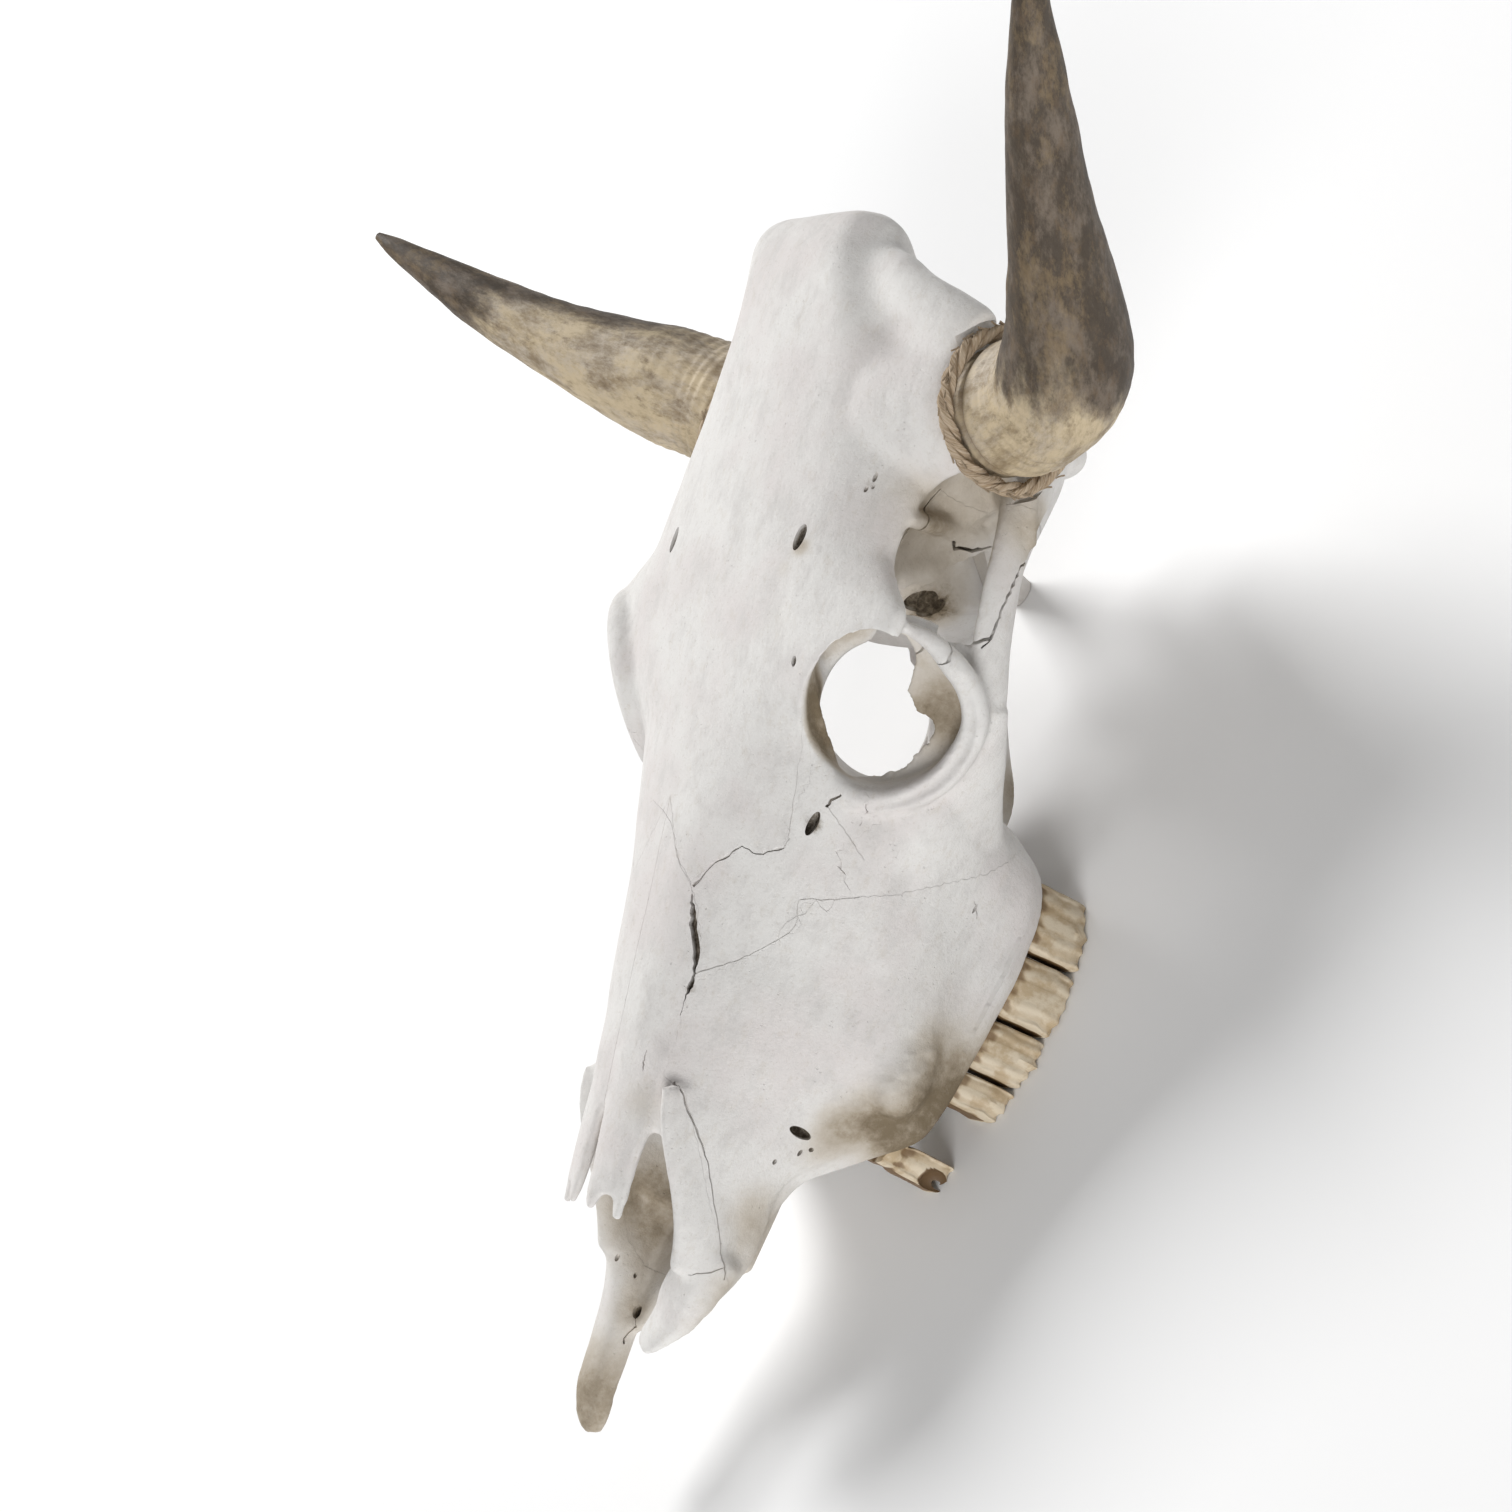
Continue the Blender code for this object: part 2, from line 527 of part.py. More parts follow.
def horn_sheath(mirror):
    points = horn_curve(mirror)
    rings = []
    steps = 12
    for k in range(steps):
        s = k / steps
        rings.append(horn_ring(points, s, horn_radius(mirror, s), 18))
    rings.append(horn_ring(points, 0.98, horn_radius(mirror, 0.98), 18))
    rings.append(horn_ring(points, 1.0, horn_radius(mirror, 1.0) * 0.5, 18))
    return loft("horn_left" if mirror > 0 else "horn_right", rings)


def rope_ring(mirror):
    """Cord tied round the foot of the horn."""
    points = horn_curve(mirror)
    place, ahead, first, second = horn_frame(points, 0)
    middle = place + ahead * ROPE_STAND_OFF
    around = horn_radius(mirror, 0) + ROPE_RADIUS + SEAM
    bm = bmesh.new()
    loops = []
    for k in range(24):
        angle = 2 * math.pi * k / 24
        out = first * math.cos(angle) + second * math.sin(angle)
        loops.append([bm.verts.new((middle + out * (around + u) + ahead * v) * MM)
                      for u, v in superellipse(7, ROPE_RADIUS, ROPE_RADIUS, 2.0)])
    for a, b in zip(loops, loops[1:] + loops[:1]):
        for i in range(len(a)):
            j = (i + 1) % len(a)
            bm.faces.new((a[i], a[j], b[j], b[i]))
    return add_object("rope_left" if mirror > 0 else "rope_right", bm)


def side_blocks(mirror):
    """Coarse paired shapes that the hollows are cut from."""
    parts = []
    crest = [(72, 420, 120, 14, 12), (82, 406, 127, 9, 9), (89, 397, 129, 6, 6)]
    if mirror > 0:
        ridge = [(42, 456, 199, 14, 12), (54, 447, 193, 14, 12), (71, 441, 184, 14, 13), (84, 436, 174, 14, 14)]
    else:
        ridge = [(34, 456, 199, 13, 11), (50, 444, 189, 12, 11), (62, 438, 177, 10, 10)]
    parts.append(tube("ridge", ridge, side=(0, 1, 0), mirror=mirror))
    parts.append(tube("crest", crest, mirror=mirror))
    parts.append(horn_core(mirror))
    parts.append(ball("condyle", (23, 450, 79), (16, 12, 17), (24, 0, -22), mirror))
    if mirror < 0:
        foot = [(54, 432, 104, 20, 16), (56, 436, 84, 15, 14), (58, 434, 60, 9, 12), (60, 430, 30, 6.4, 9.5),
                (60, 427, 8, 5.6, 7.6), (60, 426.5, CHEW_Z - SOLE_ALLOWANCE, 5.4, 7.2)]
        parts.append(tube("foot", foot, mirror=mirror))
        parts.append(ball("bulla", (38, 386, 62), (11, 15, 20), (0, 0, 0), mirror))
    parts.append(tube("ear", [(52, 396, 108, 12, 12), (66, 398, 112, 9, 9), (74, 400, 114, 7, 7)], side=(0, 1, 0),
                      mirror=mirror))
    parts.append(ball("tuber", (69, 184, 50), (13, 26, 17), (0, 0, 8), mirror))
    return parts


def side_details(mirror):
    """Thin paired shapes added once the hollows are open."""
    parts = [orbit_ring(mirror)]
    arch = [(94, 290, 100, 5, 9), (100, 310, 111, 5, 10), (100, 332, 120, 4.5, 9), (97, 352, 124, 4.5, 8.5),
            (92, 372, 125, 5, 8.5), (86, 390, 124, 8, 10), (76, 402, 120, 13, 13)]
    parts.append(tube("arch", arch, mirror=mirror))
    plate = [(68, 258, 66, 7, 26), (80, 276, 84, 6, 20), (95, 295, 99, 5, 12), (103, 310, 108, 4, 6)]
    parts.append(tube("plate", plate, mirror=mirror))
    parts.append(tube("drip", [(90, 396, 129, 5, 5), (94.5, 386, 125.5, 3.4, 4), (94.5, 376, 119, 2.6, 3.4)],
                      mirror=mirror))
    for name in TEETH:
        if mirror > 0 and name == "P3":
            continue
        parts.append(tooth(name, mirror))
    parts += nasal_tip(mirror)
    parts += incisive(mirror, broken=mirror > 0)
    return parts


def coarse_cuts():
    """Hollows that are taken out of the joined blocks."""
    tools = []
    for mirror in (1, -1):
        tools.append(tube("fossa", [(98, 320, 130, 11, 18), (89, 336, 132, 22, 26), (85, 360, 132, 25, 27),
                                    (83, 384, 130, 19, 17), (78, 397, 126, 8, 8)], mirror=mirror))
        tools.append(tube("side_gap", [(84, 308, 72, 20, 20), (78, 330, 76, 28, 30), (80, 360, 80, 24, 28),
                                       (82, 378, 84, 16, 16)], mirror=mirror))
    tools.append(tube("gap", [(-52, 316, 108, 27, 28), (-22, 316, 88, 30, 32), (0, 317, 86, 30, 35),
                              (22, 316, 88, 30, 32), (52, 316, 108, 27, 28)], side=(0, 1, 0), count=20))
    tools.append(tube("nose", [(0, 30, 86, 36, 28), (0, 96, 86, 32, 30), (0, 130, 88, 30, 30), (0, 170, 88, 24, 26),
                               (0, 196, 88, 10, 12)], count=20, power=2.4))
    tools.append(tube("palate", [(0, 84, 14, 22, 24), (0, 140, 10, 34, 24), (0, 200, 8, 46, 26), (0, 262, 8, 46, 26),
                                 (0, 300, 8, 46, 20)], count=20, power=3.0))
    tools.append(tube("magnum", [(0, 480, 84, 19, 19), (0, 450, 82, 18, 18), (0, 420, 82, 14, 14)], count=20))
    front = [(50, 160), (118, 160), (116, 120), (96, 66), (88, 42), (50, 42)]
    tools.append(prism("front", front, 'X', -60, 60))
    return tools


def sight_tunnel(mirror):
    """The straight way through the eye socket and out under the far side."""
    path = [(98, 282.5, 155, 23, 28), (60, 296, 128, 23, 28), (0, 317.5, 86, 22, 27), (-70, 342.5, 37, 22, 27)]
    return tube("sight", path, side=(0.572, 0.417, -0.706), mirror=mirror, count=24)


def skull_body():
    blocks = [face_block(), brow_plate(), brain_case(), nape_wall()]
    blocks += side_blocks(1) + side_blocks(-1)
    body = join_all("blocks", blocks)
    use_modifier(body, 'REMESH', mode='VOXEL', voxel_size=VOXEL * MM)
    for tool in coarse_cuts():
        boolean(body, tool, 'DIFFERENCE', solver='MANIFOLD')
    body = join_all("skull", [body] + lower_bar() + side_details(1) + side_details(-1))
    use_modifier(body, 'REMESH', mode='VOXEL', voxel_size=VOXEL * MM)
    for mirror in (1, -1):
        boolean(body, orbit_cut(mirror), 'DIFFERENCE', solver='MANIFOLD')
        boolean(body, sight_tunnel(mirror), 'DIFFERENCE', solver='MANIFOLD')
    use_modifier(body, 'REMESH', mode='VOXEL', voxel_size=VOXEL * MM)
    use_modifier(body, 'SMOOTH', factor=0.5, iterations=2)
    biggest_piece(body)
    for mirror in (1, -1):
        boolean(body, horn_clearance(mirror), 'DIFFERENCE', solver='MANIFOLD')
    return biggest_piece(body)


def floor_cut():
    """Planes the teeth and the hind foot to the one resting level."""
    return prism("floor", [(-120, -40), (120, -40), (120, 520), (-120, 520)], 'Z', -30, CHEW_Z)


# ---- parting the body into bones ---------------------------------------------------------
def plane_cell(name, seam, depth, grow, mirror):
    """Cell over an outline seen from above, its floor a plane a set depth under the outline."""
    points = np.array(seam, float)
    terms = np.column_stack((np.ones(len(points)), points[:, 0], points[:, 1]))
    fit = np.linalg.lstsq(terms, points[:, 2], rcond=None)[0]
    cell = prism(name, points[:, :2], 'Z', 0, 260, grow, mirror)
    for vertex in cell.data.vertices:
        if vertex.co.z < 0.1:
            x, y = abs(vertex.co.x) / MM, vertex.co.y / MM
            vertex.co.z = (fit[0] + fit[1] * x + fit[2] * y - depth - grow * 1.3) * MM
    return cell


def nasal_cell(grow, mirror):
    seam = [(x, y, along(NASAL_UNDER_Z, y)) for x, y in NASAL_SEAM]
    return plane_cell("nasal_cell", seam, 0.0, grow, mirror)


def lacrimal_cell(grow, mirror):
    return plane_cell("lacrimal_cell", LACRIMAL_SEAM, LACRIMAL_DEPTH, grow, mirror)


def incisive_cell(grow, mirror):
    return prism("incisive_cell", INCISIVE_SEAM, 'X', 0.2 if grow == 0 else 0.2 + grow, 70, grow, mirror)


def zygomatic_cell(grow, mirror):
    return prism("zygomatic_cell", ZYGOMATIC_SEAM, 'X', 62, 130, grow, mirror)


def temporal_cell(grow, mirror):
    return prism("temporal_cell", TEMPORAL_SEAM, 'X', 28, 130, grow, mirror)


def occipital_cell(grow, mirror):
    return prism("occipital_cell", OCCIPITAL_SEAM, 'X', -130, 130, grow)


def palatine_cell(grow, mirror):
    return prism("palatine_cell", ((258, 0), (258, 50), (290, 52), (317, 70), (317, 0)), 'X', -34, 34, grow)


def sphenoid_cell(grow, mirror):
    return prism("sphenoid_cell", ((317, 0), (317, 149.5), (407, 149.5), (407, 0)), 'X', -48, 48, grow)


def frontal_cell(grow, mirror):
    root = list(FRONTAL_ROOT) + [(-x, y) for x, y in FRONTAL_ROOT[:0:-1]]
    cell = prism("frontal_cell", root, 'Z', 118, 260, grow)
    behind = [(-60, 345), (60, 345), (60, 455), (-60, 455)]
    boolean(cell, prism("behind", behind, 'Z', 150, 262, grow), 'UNION')
    crown = [(-60, 440), (60, 440), (60, 520), (-60, 520)]
    boolean(cell, prism("crown", crown, 'Z', 178, 264, grow), 'UNION')
    for side in (1, -1):
        boolean(cell, prism("side", FRONTAL_SIDE, 'X', 54, 130, grow, side), 'UNION')
    return cell


def half_cell(grow, mirror):
    return prism("half", [(0, -50), (200, -50), (200, 600), (0, 600)], 'Z', -50, 300, 0, mirror)


BONES = (
    ("nasal", nasal_cell, True), ("incisive", incisive_cell, True), ("lacrimal", lacrimal_cell, True),
    ("zygomatic", zygomatic_cell, True), ("occipital", occipital_cell, False), ("frontal", frontal_cell, False),
    ("temporal", temporal_cell, True), ("palatine", palatine_cell, False), ("sphenoid", sphenoid_cell, False),
)


def take(body, name, cell, mirror):
    """Cut one bone out of the body and leave a seam round it."""
    bone = copy_of(body, name)
    boolean(bone, cell(0.0, mirror), 'INTERSECT', solver='MANIFOLD')
    boolean(body, cell(SEAM, mirror), 'DIFFERENCE', solver='MANIFOLD')
    return biggest_piece(bone)


def part_bones(body):
    bones = []
    for name, cell, paired in BONES:
        if paired:
            bones.append(take(body, name + "_left", cell, 1))
            bones.append(take(body, name + "_right", cell, -1))
        else:
            bones.append(take(body, name, cell, 1))
    for name, mirror in (("maxilla_left", 1), ("maxilla_right", -1)):
        bone = copy_of(body, name)
        half = half_cell(0.0, mirror)
        for vertex in half.data.vertices:
            if abs(vertex.co.x) < 0.001:
                vertex.co.x = mirror * SEAM / 2 * MM
        boolean(bone, half, 'INTERSECT', solver='MANIFOLD')
        bones.append(biggest_piece(bone))
    bpy.data.objects.remove(body, do_unlink=True)
    return bones


def make_material(name, colour, roughness):
    material = bpy.data.materials.new(name)
    material.use_nodes = True
    shader = material.node_tree.nodes["Principled BSDF"]
    shader.inputs["Base Color"].default_value = colour
    shader.inputs["Roughness"].default_value = roughness
    return material


def centre_on_box(objects):
    """Put the origin under the middle of the whole model's box, on the floor."""
    corners = np.array([v.co[:] for obj in objects for v in obj.data.vertices])
    low, high = corners.min(axis=0), corners.max(axis=0)
    shift = Vector((-(low[0] + high[0]) / 2, -(low[1] + high[1]) / 2, -low[2]))
    for obj in objects:
        for vertex in obj.data.vertices:
            vertex.co = vertex.co + shift


def main():
    for old in list(bpy.data.objects):
        bpy.data.objects.remove(old, do_unlink=True)
    body = skull_body()
    triangles = sum(len(p.vertices) - 2 for p in body.data.polygons)
    use_modifier(body, 'DECIMATE', ratio=BODY_TRIANGLES / triangles, use_collapse_triangulate=True)
    boolean(body, floor_cut(), 'DIFFERENCE', solver='MANIFOLD')
    solids = part_bones(body)
    horns = [horn_sheath(1), horn_sheath(-1)]
    ropes = [rope_ring(1), rope_ring(-1)]
    centre_on_box(solids + horns + ropes)
    skull = bpy.data.collections.new("cow_skull")
    bpy.context.scene.collection.children.link(skull)
    for group, colour, roughness in ((solids, BONE_WHITE, 0.8), (horns, HORN_BROWN, 0.5), (ropes, ROPE_TAN, 0.9)):
        for solid in group:
            solid.data.materials.clear()
            solid.data.materials.append(make_material(solid.name, colour, roughness))
            for home in list(solid.users_collection):
                home.objects.unlink(solid)
            skull.objects.link(solid)
            for polygon in solid.data.polygons:
                polygon.use_smooth = False


if __name__ == "__main__":
    main()
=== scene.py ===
"""Looks of a life-size cow skull: bones, cheek teeth, horn sheaths and rope rings.

Sizes are millimetres in the skull's own frame: X is its left, Y runs from the muzzle to the
crown and Z is up from the chewing plane, which is the floor. A finished piece is moved into
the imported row's frame by settle. The bones are grown as one body in fine grain, weathered,
and then parted along their seams, as the solids are.
"""

import logging
import math
from contextlib import contextmanager
from dataclasses import dataclass
from enum import Enum
from typing import Callable, Iterator, Optional, Sequence

import bpy
import numpy as np
from mathutils import Matrix, Vector
from mathutils.bvhtree import BVHTree
from mathutils.kdtree import KDTree


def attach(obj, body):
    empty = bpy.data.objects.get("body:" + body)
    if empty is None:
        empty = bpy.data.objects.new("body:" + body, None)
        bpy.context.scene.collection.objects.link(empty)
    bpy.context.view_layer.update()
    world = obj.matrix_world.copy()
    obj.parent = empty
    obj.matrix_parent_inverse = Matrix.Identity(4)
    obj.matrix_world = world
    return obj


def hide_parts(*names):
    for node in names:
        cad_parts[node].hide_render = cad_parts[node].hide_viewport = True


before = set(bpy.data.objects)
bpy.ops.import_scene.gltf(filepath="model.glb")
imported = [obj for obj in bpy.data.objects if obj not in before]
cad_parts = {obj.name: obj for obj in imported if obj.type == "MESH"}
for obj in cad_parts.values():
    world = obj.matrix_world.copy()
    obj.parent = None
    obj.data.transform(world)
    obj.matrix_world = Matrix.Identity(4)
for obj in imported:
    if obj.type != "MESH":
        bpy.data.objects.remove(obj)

log = logging.getLogger("skull")

Keys = Sequence[Sequence[float]]
Point = Sequence[float]
Object = bpy.types.Object
Socket = bpy.types.NodeSocket

MM = 0.001
ROW_SHIFT = (17.9383, -243.6565, 0.0)       # skull frame to row frame
MERGE = 1e-7                                # metres within which wrapped edges are one
SHARP = 50.0                                # degrees past which an edge stays crisp


class Side(Enum):
    """Left or right of the skull; the value is the sign of its X."""

    LEFT = 1
    RIGHT = -1

    @property
    def word(self) -> str:
        """The side's name as node names have it."""
        return self.name.lower()


class Grain(Enum):
    """How fine the body is grown, as the edge of one cell in millimetres."""

    QUICK = 1.7
    FULL = 1.2


GRAIN = Grain.FULL


# ---- numbers
def along(keys: Keys, at: float) -> float:
    """Smooth value through (place, value) keys with no overshoot.

    Args:
        keys: Pairs of place and value, in rising order of place.
        at: The place asked for.

    Returns:
        The value there; the end values go on past the ends.
    """
    xs = [float(k[0]) for k in keys]
    vs = [float(k[1]) for k in keys]
    if at <= xs[0]:
        return vs[0]
    if at >= xs[-1]:
        return vs[-1]
    slopes = [(vs[i + 1] - vs[i]) / (xs[i + 1] - xs[i]) for i in range(len(xs) - 1)]
    tangents = [slopes[0]]
    for a, b in zip(slopes, slopes[1:]):
        tangents.append(0.0 if a * b <= 0 else 2 * a * b / (a + b))
    tangents.append(slopes[-1])
    i = max(k for k in range(len(xs) - 1) if xs[k] <= at)
    h = xs[i + 1] - xs[i]
    t = (at - xs[i]) / h
    return ((2 * t ** 3 - 3 * t ** 2 + 1) * vs[i] + (t ** 3 - 2 * t ** 2 + t) * h * tangents[i]
            + (3 * t ** 2 - 2 * t ** 3) * vs[i + 1] + (t ** 3 - t ** 2) * h * tangents[i + 1])


def through(rows: Keys, steps: int) -> np.ndarray:
    """Catmull-Rom curve through rows of numbers.

    Args:
        rows: The rows that the curve passes through.
        steps: Points made for each stretch between two rows.

    Returns:
        One row of numbers for each point of the curve.
    """
    r = np.array(rows, float)
    out = []
    for i in range(len(r) - 1):
        p0 = r[i - 1] if i > 0 else 2 * r[i] - r[i + 1]
        p1, p2 = r[i], r[i + 1]
        p3 = r[i + 2] if i + 2 < len(r) else 2 * r[i + 1] - r[i]
        for k in range(steps):
            t = k / steps
            out.append(0.5 * (2 * p1 + (p2 - p0) * t + (2 * p0 - 5 * p1 + 4 * p2 - p3) * t * t
                              + (3 * p1 - p0 - 3 * p2 + p3) * t ** 3))
    out.append(r[-1])
    return np.array(out)


def smooth_step(low: float, high: float, values: np.ndarray | float) -> np.ndarray:
    """Eased 0 to 1 as the values go from low to high; low may be the larger."""
    t = np.clip((np.asarray(values, float) - low) / (high - low), 0, 1)
    return t * t * (3 - 2 * t)


def lattice(cells: np.ndarray, seed: int) -> np.ndarray:
    """A fixed random number from -1 to 1 for each whole-numbered cell.

    Args:
        cells: One row of whole numbers for each cell.
        seed: Which set of numbers it is.

    Returns:
        One number for each cell.
    """
    c = cells.astype(np.int64)
    h = (c[:, 0] * 73856093) ^ (c[:, 1] * 19349663) ^ (c[:, 2] * 83492791) ^ (seed * 40503 + 977)
    h = (h ^ (h >> 13)) * 1274126177
    h = (h ^ (h >> 16)) & 0xFFFFF
    return h / 0x7FFFF - 1.0


def noise(points: np.ndarray, size: float, seed: int = 0, octaves: int = 1) -> np.ndarray:
    """Smooth noise over points in millimetres.

    Args:
        points: One row of X, Y and Z for each point.
        size: Width of the largest features.
        seed: Which noise it is.
        octaves: How many halvings of the size are added.

    Returns:
        About -1 to 1 for each point.
    """
    total = np.zeros(len(points))
    weight = 1.0
    for octave in range(octaves):
        p = points / (size / 2 ** octave) + 31.7
        cell = np.floor(p)
        f = p - cell
        w = f * f * (3 - 2 * f)
        for dx in (0, 1):
            for dy in (0, 1):
                for dz in (0, 1):
                    share = ((w[:, 0] if dx else 1 - w[:, 0]) * (w[:, 1] if dy else 1 - w[:, 1])
                             * (w[:, 2] if dz else 1 - w[:, 2]))
                    total += weight * share * lattice(cell + (dx, dy, dz), seed + octave * 7)
        weight *= 0.5
    return total / (2 - 2 * weight)


# ---- the bench: making and joining forms
def only(*objects: Object) -> None:
    """Selects these objects alone and makes the first one active."""
    bpy.ops.object.select_all(action='DESELECT')
    for obj in objects:
        obj.select_set(True)
    bpy.context.view_layer.objects.active = objects[0]


@contextmanager
def editing(obj: Object) -> Iterator[None]:
    """Edit mode on one object alone, with all of it selected."""
    only(obj)
    bpy.ops.object.mode_set(mode='EDIT')
    bpy.ops.mesh.select_all(action='SELECT')
    yield
    bpy.ops.object.mode_set(mode='OBJECT')


def apply(obj: Object, kind: str, **settings: object) -> Object:
    """Adds a modifier and applies it.

    Args:
        obj: The mesh object.
        kind: The modifier's type.
        **settings: Its settings.

    Returns:
        The same object.
    """
    only(obj)
    modifier = obj.modifiers.new(kind.title(), kind)
    for key, value in settings.items():
        setattr(modifier, key, value)
    bpy.ops.object.modifier_apply(modifier=modifier.name)
    return obj


def remove(obj: Object) -> None:
    """Takes an object and its mesh out of the file."""
    mesh = obj.data
    bpy.data.objects.remove(obj, do_unlink=True)
    bpy.data.meshes.remove(mesh)


def combine(body: Object, tool: Object, operation: str = 'DIFFERENCE') -> Object:
    """Cuts, joins or keeps the common part of two closed meshes, and removes the tool."""
    apply(body, 'BOOLEAN', object=tool, operation=operation, solver='MANIFOLD')
    remove(tool)
    return body


def join(objects: Sequence[Object]) -> Object:
    """One object holding the shells of several."""
    only(*objects)
    bpy.ops.object.join()
    return objects[0]


def copy_of(obj: Object) -> Object:
    """A copy with a mesh of its own."""
    other = bpy.data.objects.new(obj.name, obj.data.copy())
    bpy.context.scene.collection.objects.link(other)
    return other


def grow(obj: Object, cell: float = GRAIN.value) -> Object:
    """Fuses overlapping shells into one skin of even cells."""
    return apply(obj, 'REMESH', mode='VOXEL', voxel_size=cell * MM)


def largest(obj: Object) -> Object:
    """Keeps the biggest loose piece and drops the crumbs that a cut leaves.

    Args:
        obj: The mesh object.

    Returns:
        The same object.
    """
    with editing(obj):
        bpy.ops.mesh.separate(type='LOOSE')
    parts = list(bpy.context.selected_objects)
    parts.sort(key=lambda part: len(part.data.vertices), reverse=True)
    if parts[0] is not obj:
        parts[0].data, obj.data = obj.data, parts[0].data
    for part in parts:
        if part is not obj:
            remove(part)
    return obj


def points_of(obj: Object) -> np.ndarray:
    """Vertex places of a mesh in millimetres."""
    co = np.empty(len(obj.data.vertices) * 3, np.float32)
    obj.data.vertices.foreach_get("co", co)
    return co.reshape(-1, 3).astype(float) / MM


def set_points(obj: Object, points: np.ndarray) -> None:
    """Moves the vertices of a mesh to places in millimetres."""
    obj.data.vertices.foreach_set("co", (points * MM).astype(np.float32).ravel())
    obj.data.update()


def normals_of(obj: Object) -> np.ndarray:
    """Vertex normals of a mesh."""
    out = np.empty(len(obj.data.vertices) * 3, np.float32)
    obj.data.vertex_normals.foreach_get("vector", out)
    return out.reshape(-1, 3).astype(float)


def set_attribute(obj: Object, name: str, values: np.ndarray) -> None:
    """Stores one number, or one vector, for each vertex."""
    kind = 'FLOAT' if values.ndim == 1 else 'FLOAT_VECTOR'
    attribute = obj.data.attributes.new(name, kind, 'POINT')
    attribute.data.foreach_set("value" if values.ndim == 1 else "vector", values.astype(np.float32).ravel())


def sources(obj: Object, points: np.ndarray) -> list[int]:
    """Which of the points, in millimetres, each vertex of a wrapped mesh came from.

    Args:
        obj: A mesh that wrap made.
        points: The points of its rings, in their order.

    Returns:
        One index for each vertex.
    """
    tree = KDTree(len(points))
    for index, point in enumerate(points * MM):
        tree.insert(point, index)
    tree.balance()
    return [tree.find(vertex.co)[1] for vertex in obj.data.vertices]


def wrap(rings: Sequence, closed_along: bool = False) -> Object:
    """A grid primitive bent through rings of points, its meeting edges merged and its ends filled.

    Args:
        rings: Rings of points in millimetres, ring by point by XYZ.
        closed_along: True if the last ring joins the first, as on a torus.

    Returns:
        A closed mesh object with its faces outwards and a UV map round and along it.
    """
    rings = np.asarray(rings, float)
    rows, around = rings.shape[:2]
    steps = rows if closed_along else rows - 1
    bpy.ops.mesh.primitive_grid_add(x_subdivisions=around, y_subdivisions=steps, size=1)
    obj = bpy.context.object
    order = np.arange(steps + 1) % rows
    sheet = np.concatenate((rings[order], rings[order][:, :1]), axis=1)
    set_points(obj, sheet.reshape(-1, 3))
    with editing(obj):
        bpy.ops.mesh.remove_doubles(threshold=MERGE)
        if not closed_along:
            bpy.ops.mesh.fill_holes(sides=0)
            bpy.ops.mesh.select_all(action='SELECT')
        bpy.ops.mesh.normals_make_consistent(inside=False)
    return obj


def oval(count: int, half_a: float, half_b: float, power: float = 2.0) -> list[tuple[float, float]]:
    """Points round a superellipse; power 2 is an ellipse and a higher one is squarer.

    Args:
        count: How many points.
        half_a: Half size along the first direction.
        half_b: Half size along the second.
        power: How square it is.

    Returns:
        Pairs of places along the two directions.
    """
    pairs = []
    for k in range(count):
        angle = 2 * math.pi * k / count
        c, s = math.cos(angle), math.sin(angle)
        pairs.append((half_a * math.copysign(abs(c) ** (2 / power), c),
                      half_b * math.copysign(abs(s) ** (2 / power), s)))
    return pairs


def tube(rows: Keys, side: Point = (1, 0, 0), mirror: int = 1, steps: int = 5, power: float = 2.0,
         count: int = 24) -> Object:
    """A solid bar of changing thickness.

    Args:
        rows: Rows of X, Y, Z, half size along the side direction and half size across it.
        side: The direction in which the first half size is measured.
        mirror: -1 for the right side of the skull.
        steps: Rings for each stretch between rows.
        power: Squareness of the section.
        count: Points round the section.

    Returns:
        A closed mesh.
    """
    path = through(rows, steps)
    points = path[:, :3] * (mirror, 1, 1)
    tangents = np.gradient(points, axis=0)
    reference = np.array(side, float) * (mirror, 1, 1)
    rings = []
    for point, tangent, (a, b) in zip(points, tangents, path[:, 3:5]):
        tangent = tangent / np.linalg.norm(tangent)
        first = reference - tangent * (reference @ tangent)
        first = first / np.linalg.norm(first)
        second = np.cross(tangent, first)
        rings.append([point + first * u + second * v for u, v in oval(count, max(a, 0.4), max(b, 0.4), power)])
    return wrap(rings)


def ball(centre: Point, radii: Point, turn: Point = (0, 0, 0), mirror: int = 1) -> Object:
    """An ellipsoid from a sphere primitive.

    Args:
        centre: Its middle.
        radii: Half sizes along its own X, Y and Z.
        turn: Its turn about X, Y and Z in degrees.
        mirror: -1 for the right side of the skull.

    Returns:
        A closed mesh.
    """
    bpy.ops.mesh.primitive_uv_sphere_add(segments=32, ring_count=20, radius=1)
    obj = bpy.context.object
    about_x, about_y, about_z = (Matrix.Rotation(math.radians(angle), 3, axis) for angle, axis in zip(turn, 'XYZ'))
    spin = np.array(about_z @ about_y @ about_x)
    points = (points_of(obj) * MM * np.array(radii)) @ spin.T + np.array(centre)
    set_points(obj, points * (mirror, 1, 1))
    with editing(obj):
        bpy.ops.mesh.normals_make_consistent(inside=False)
    return obj


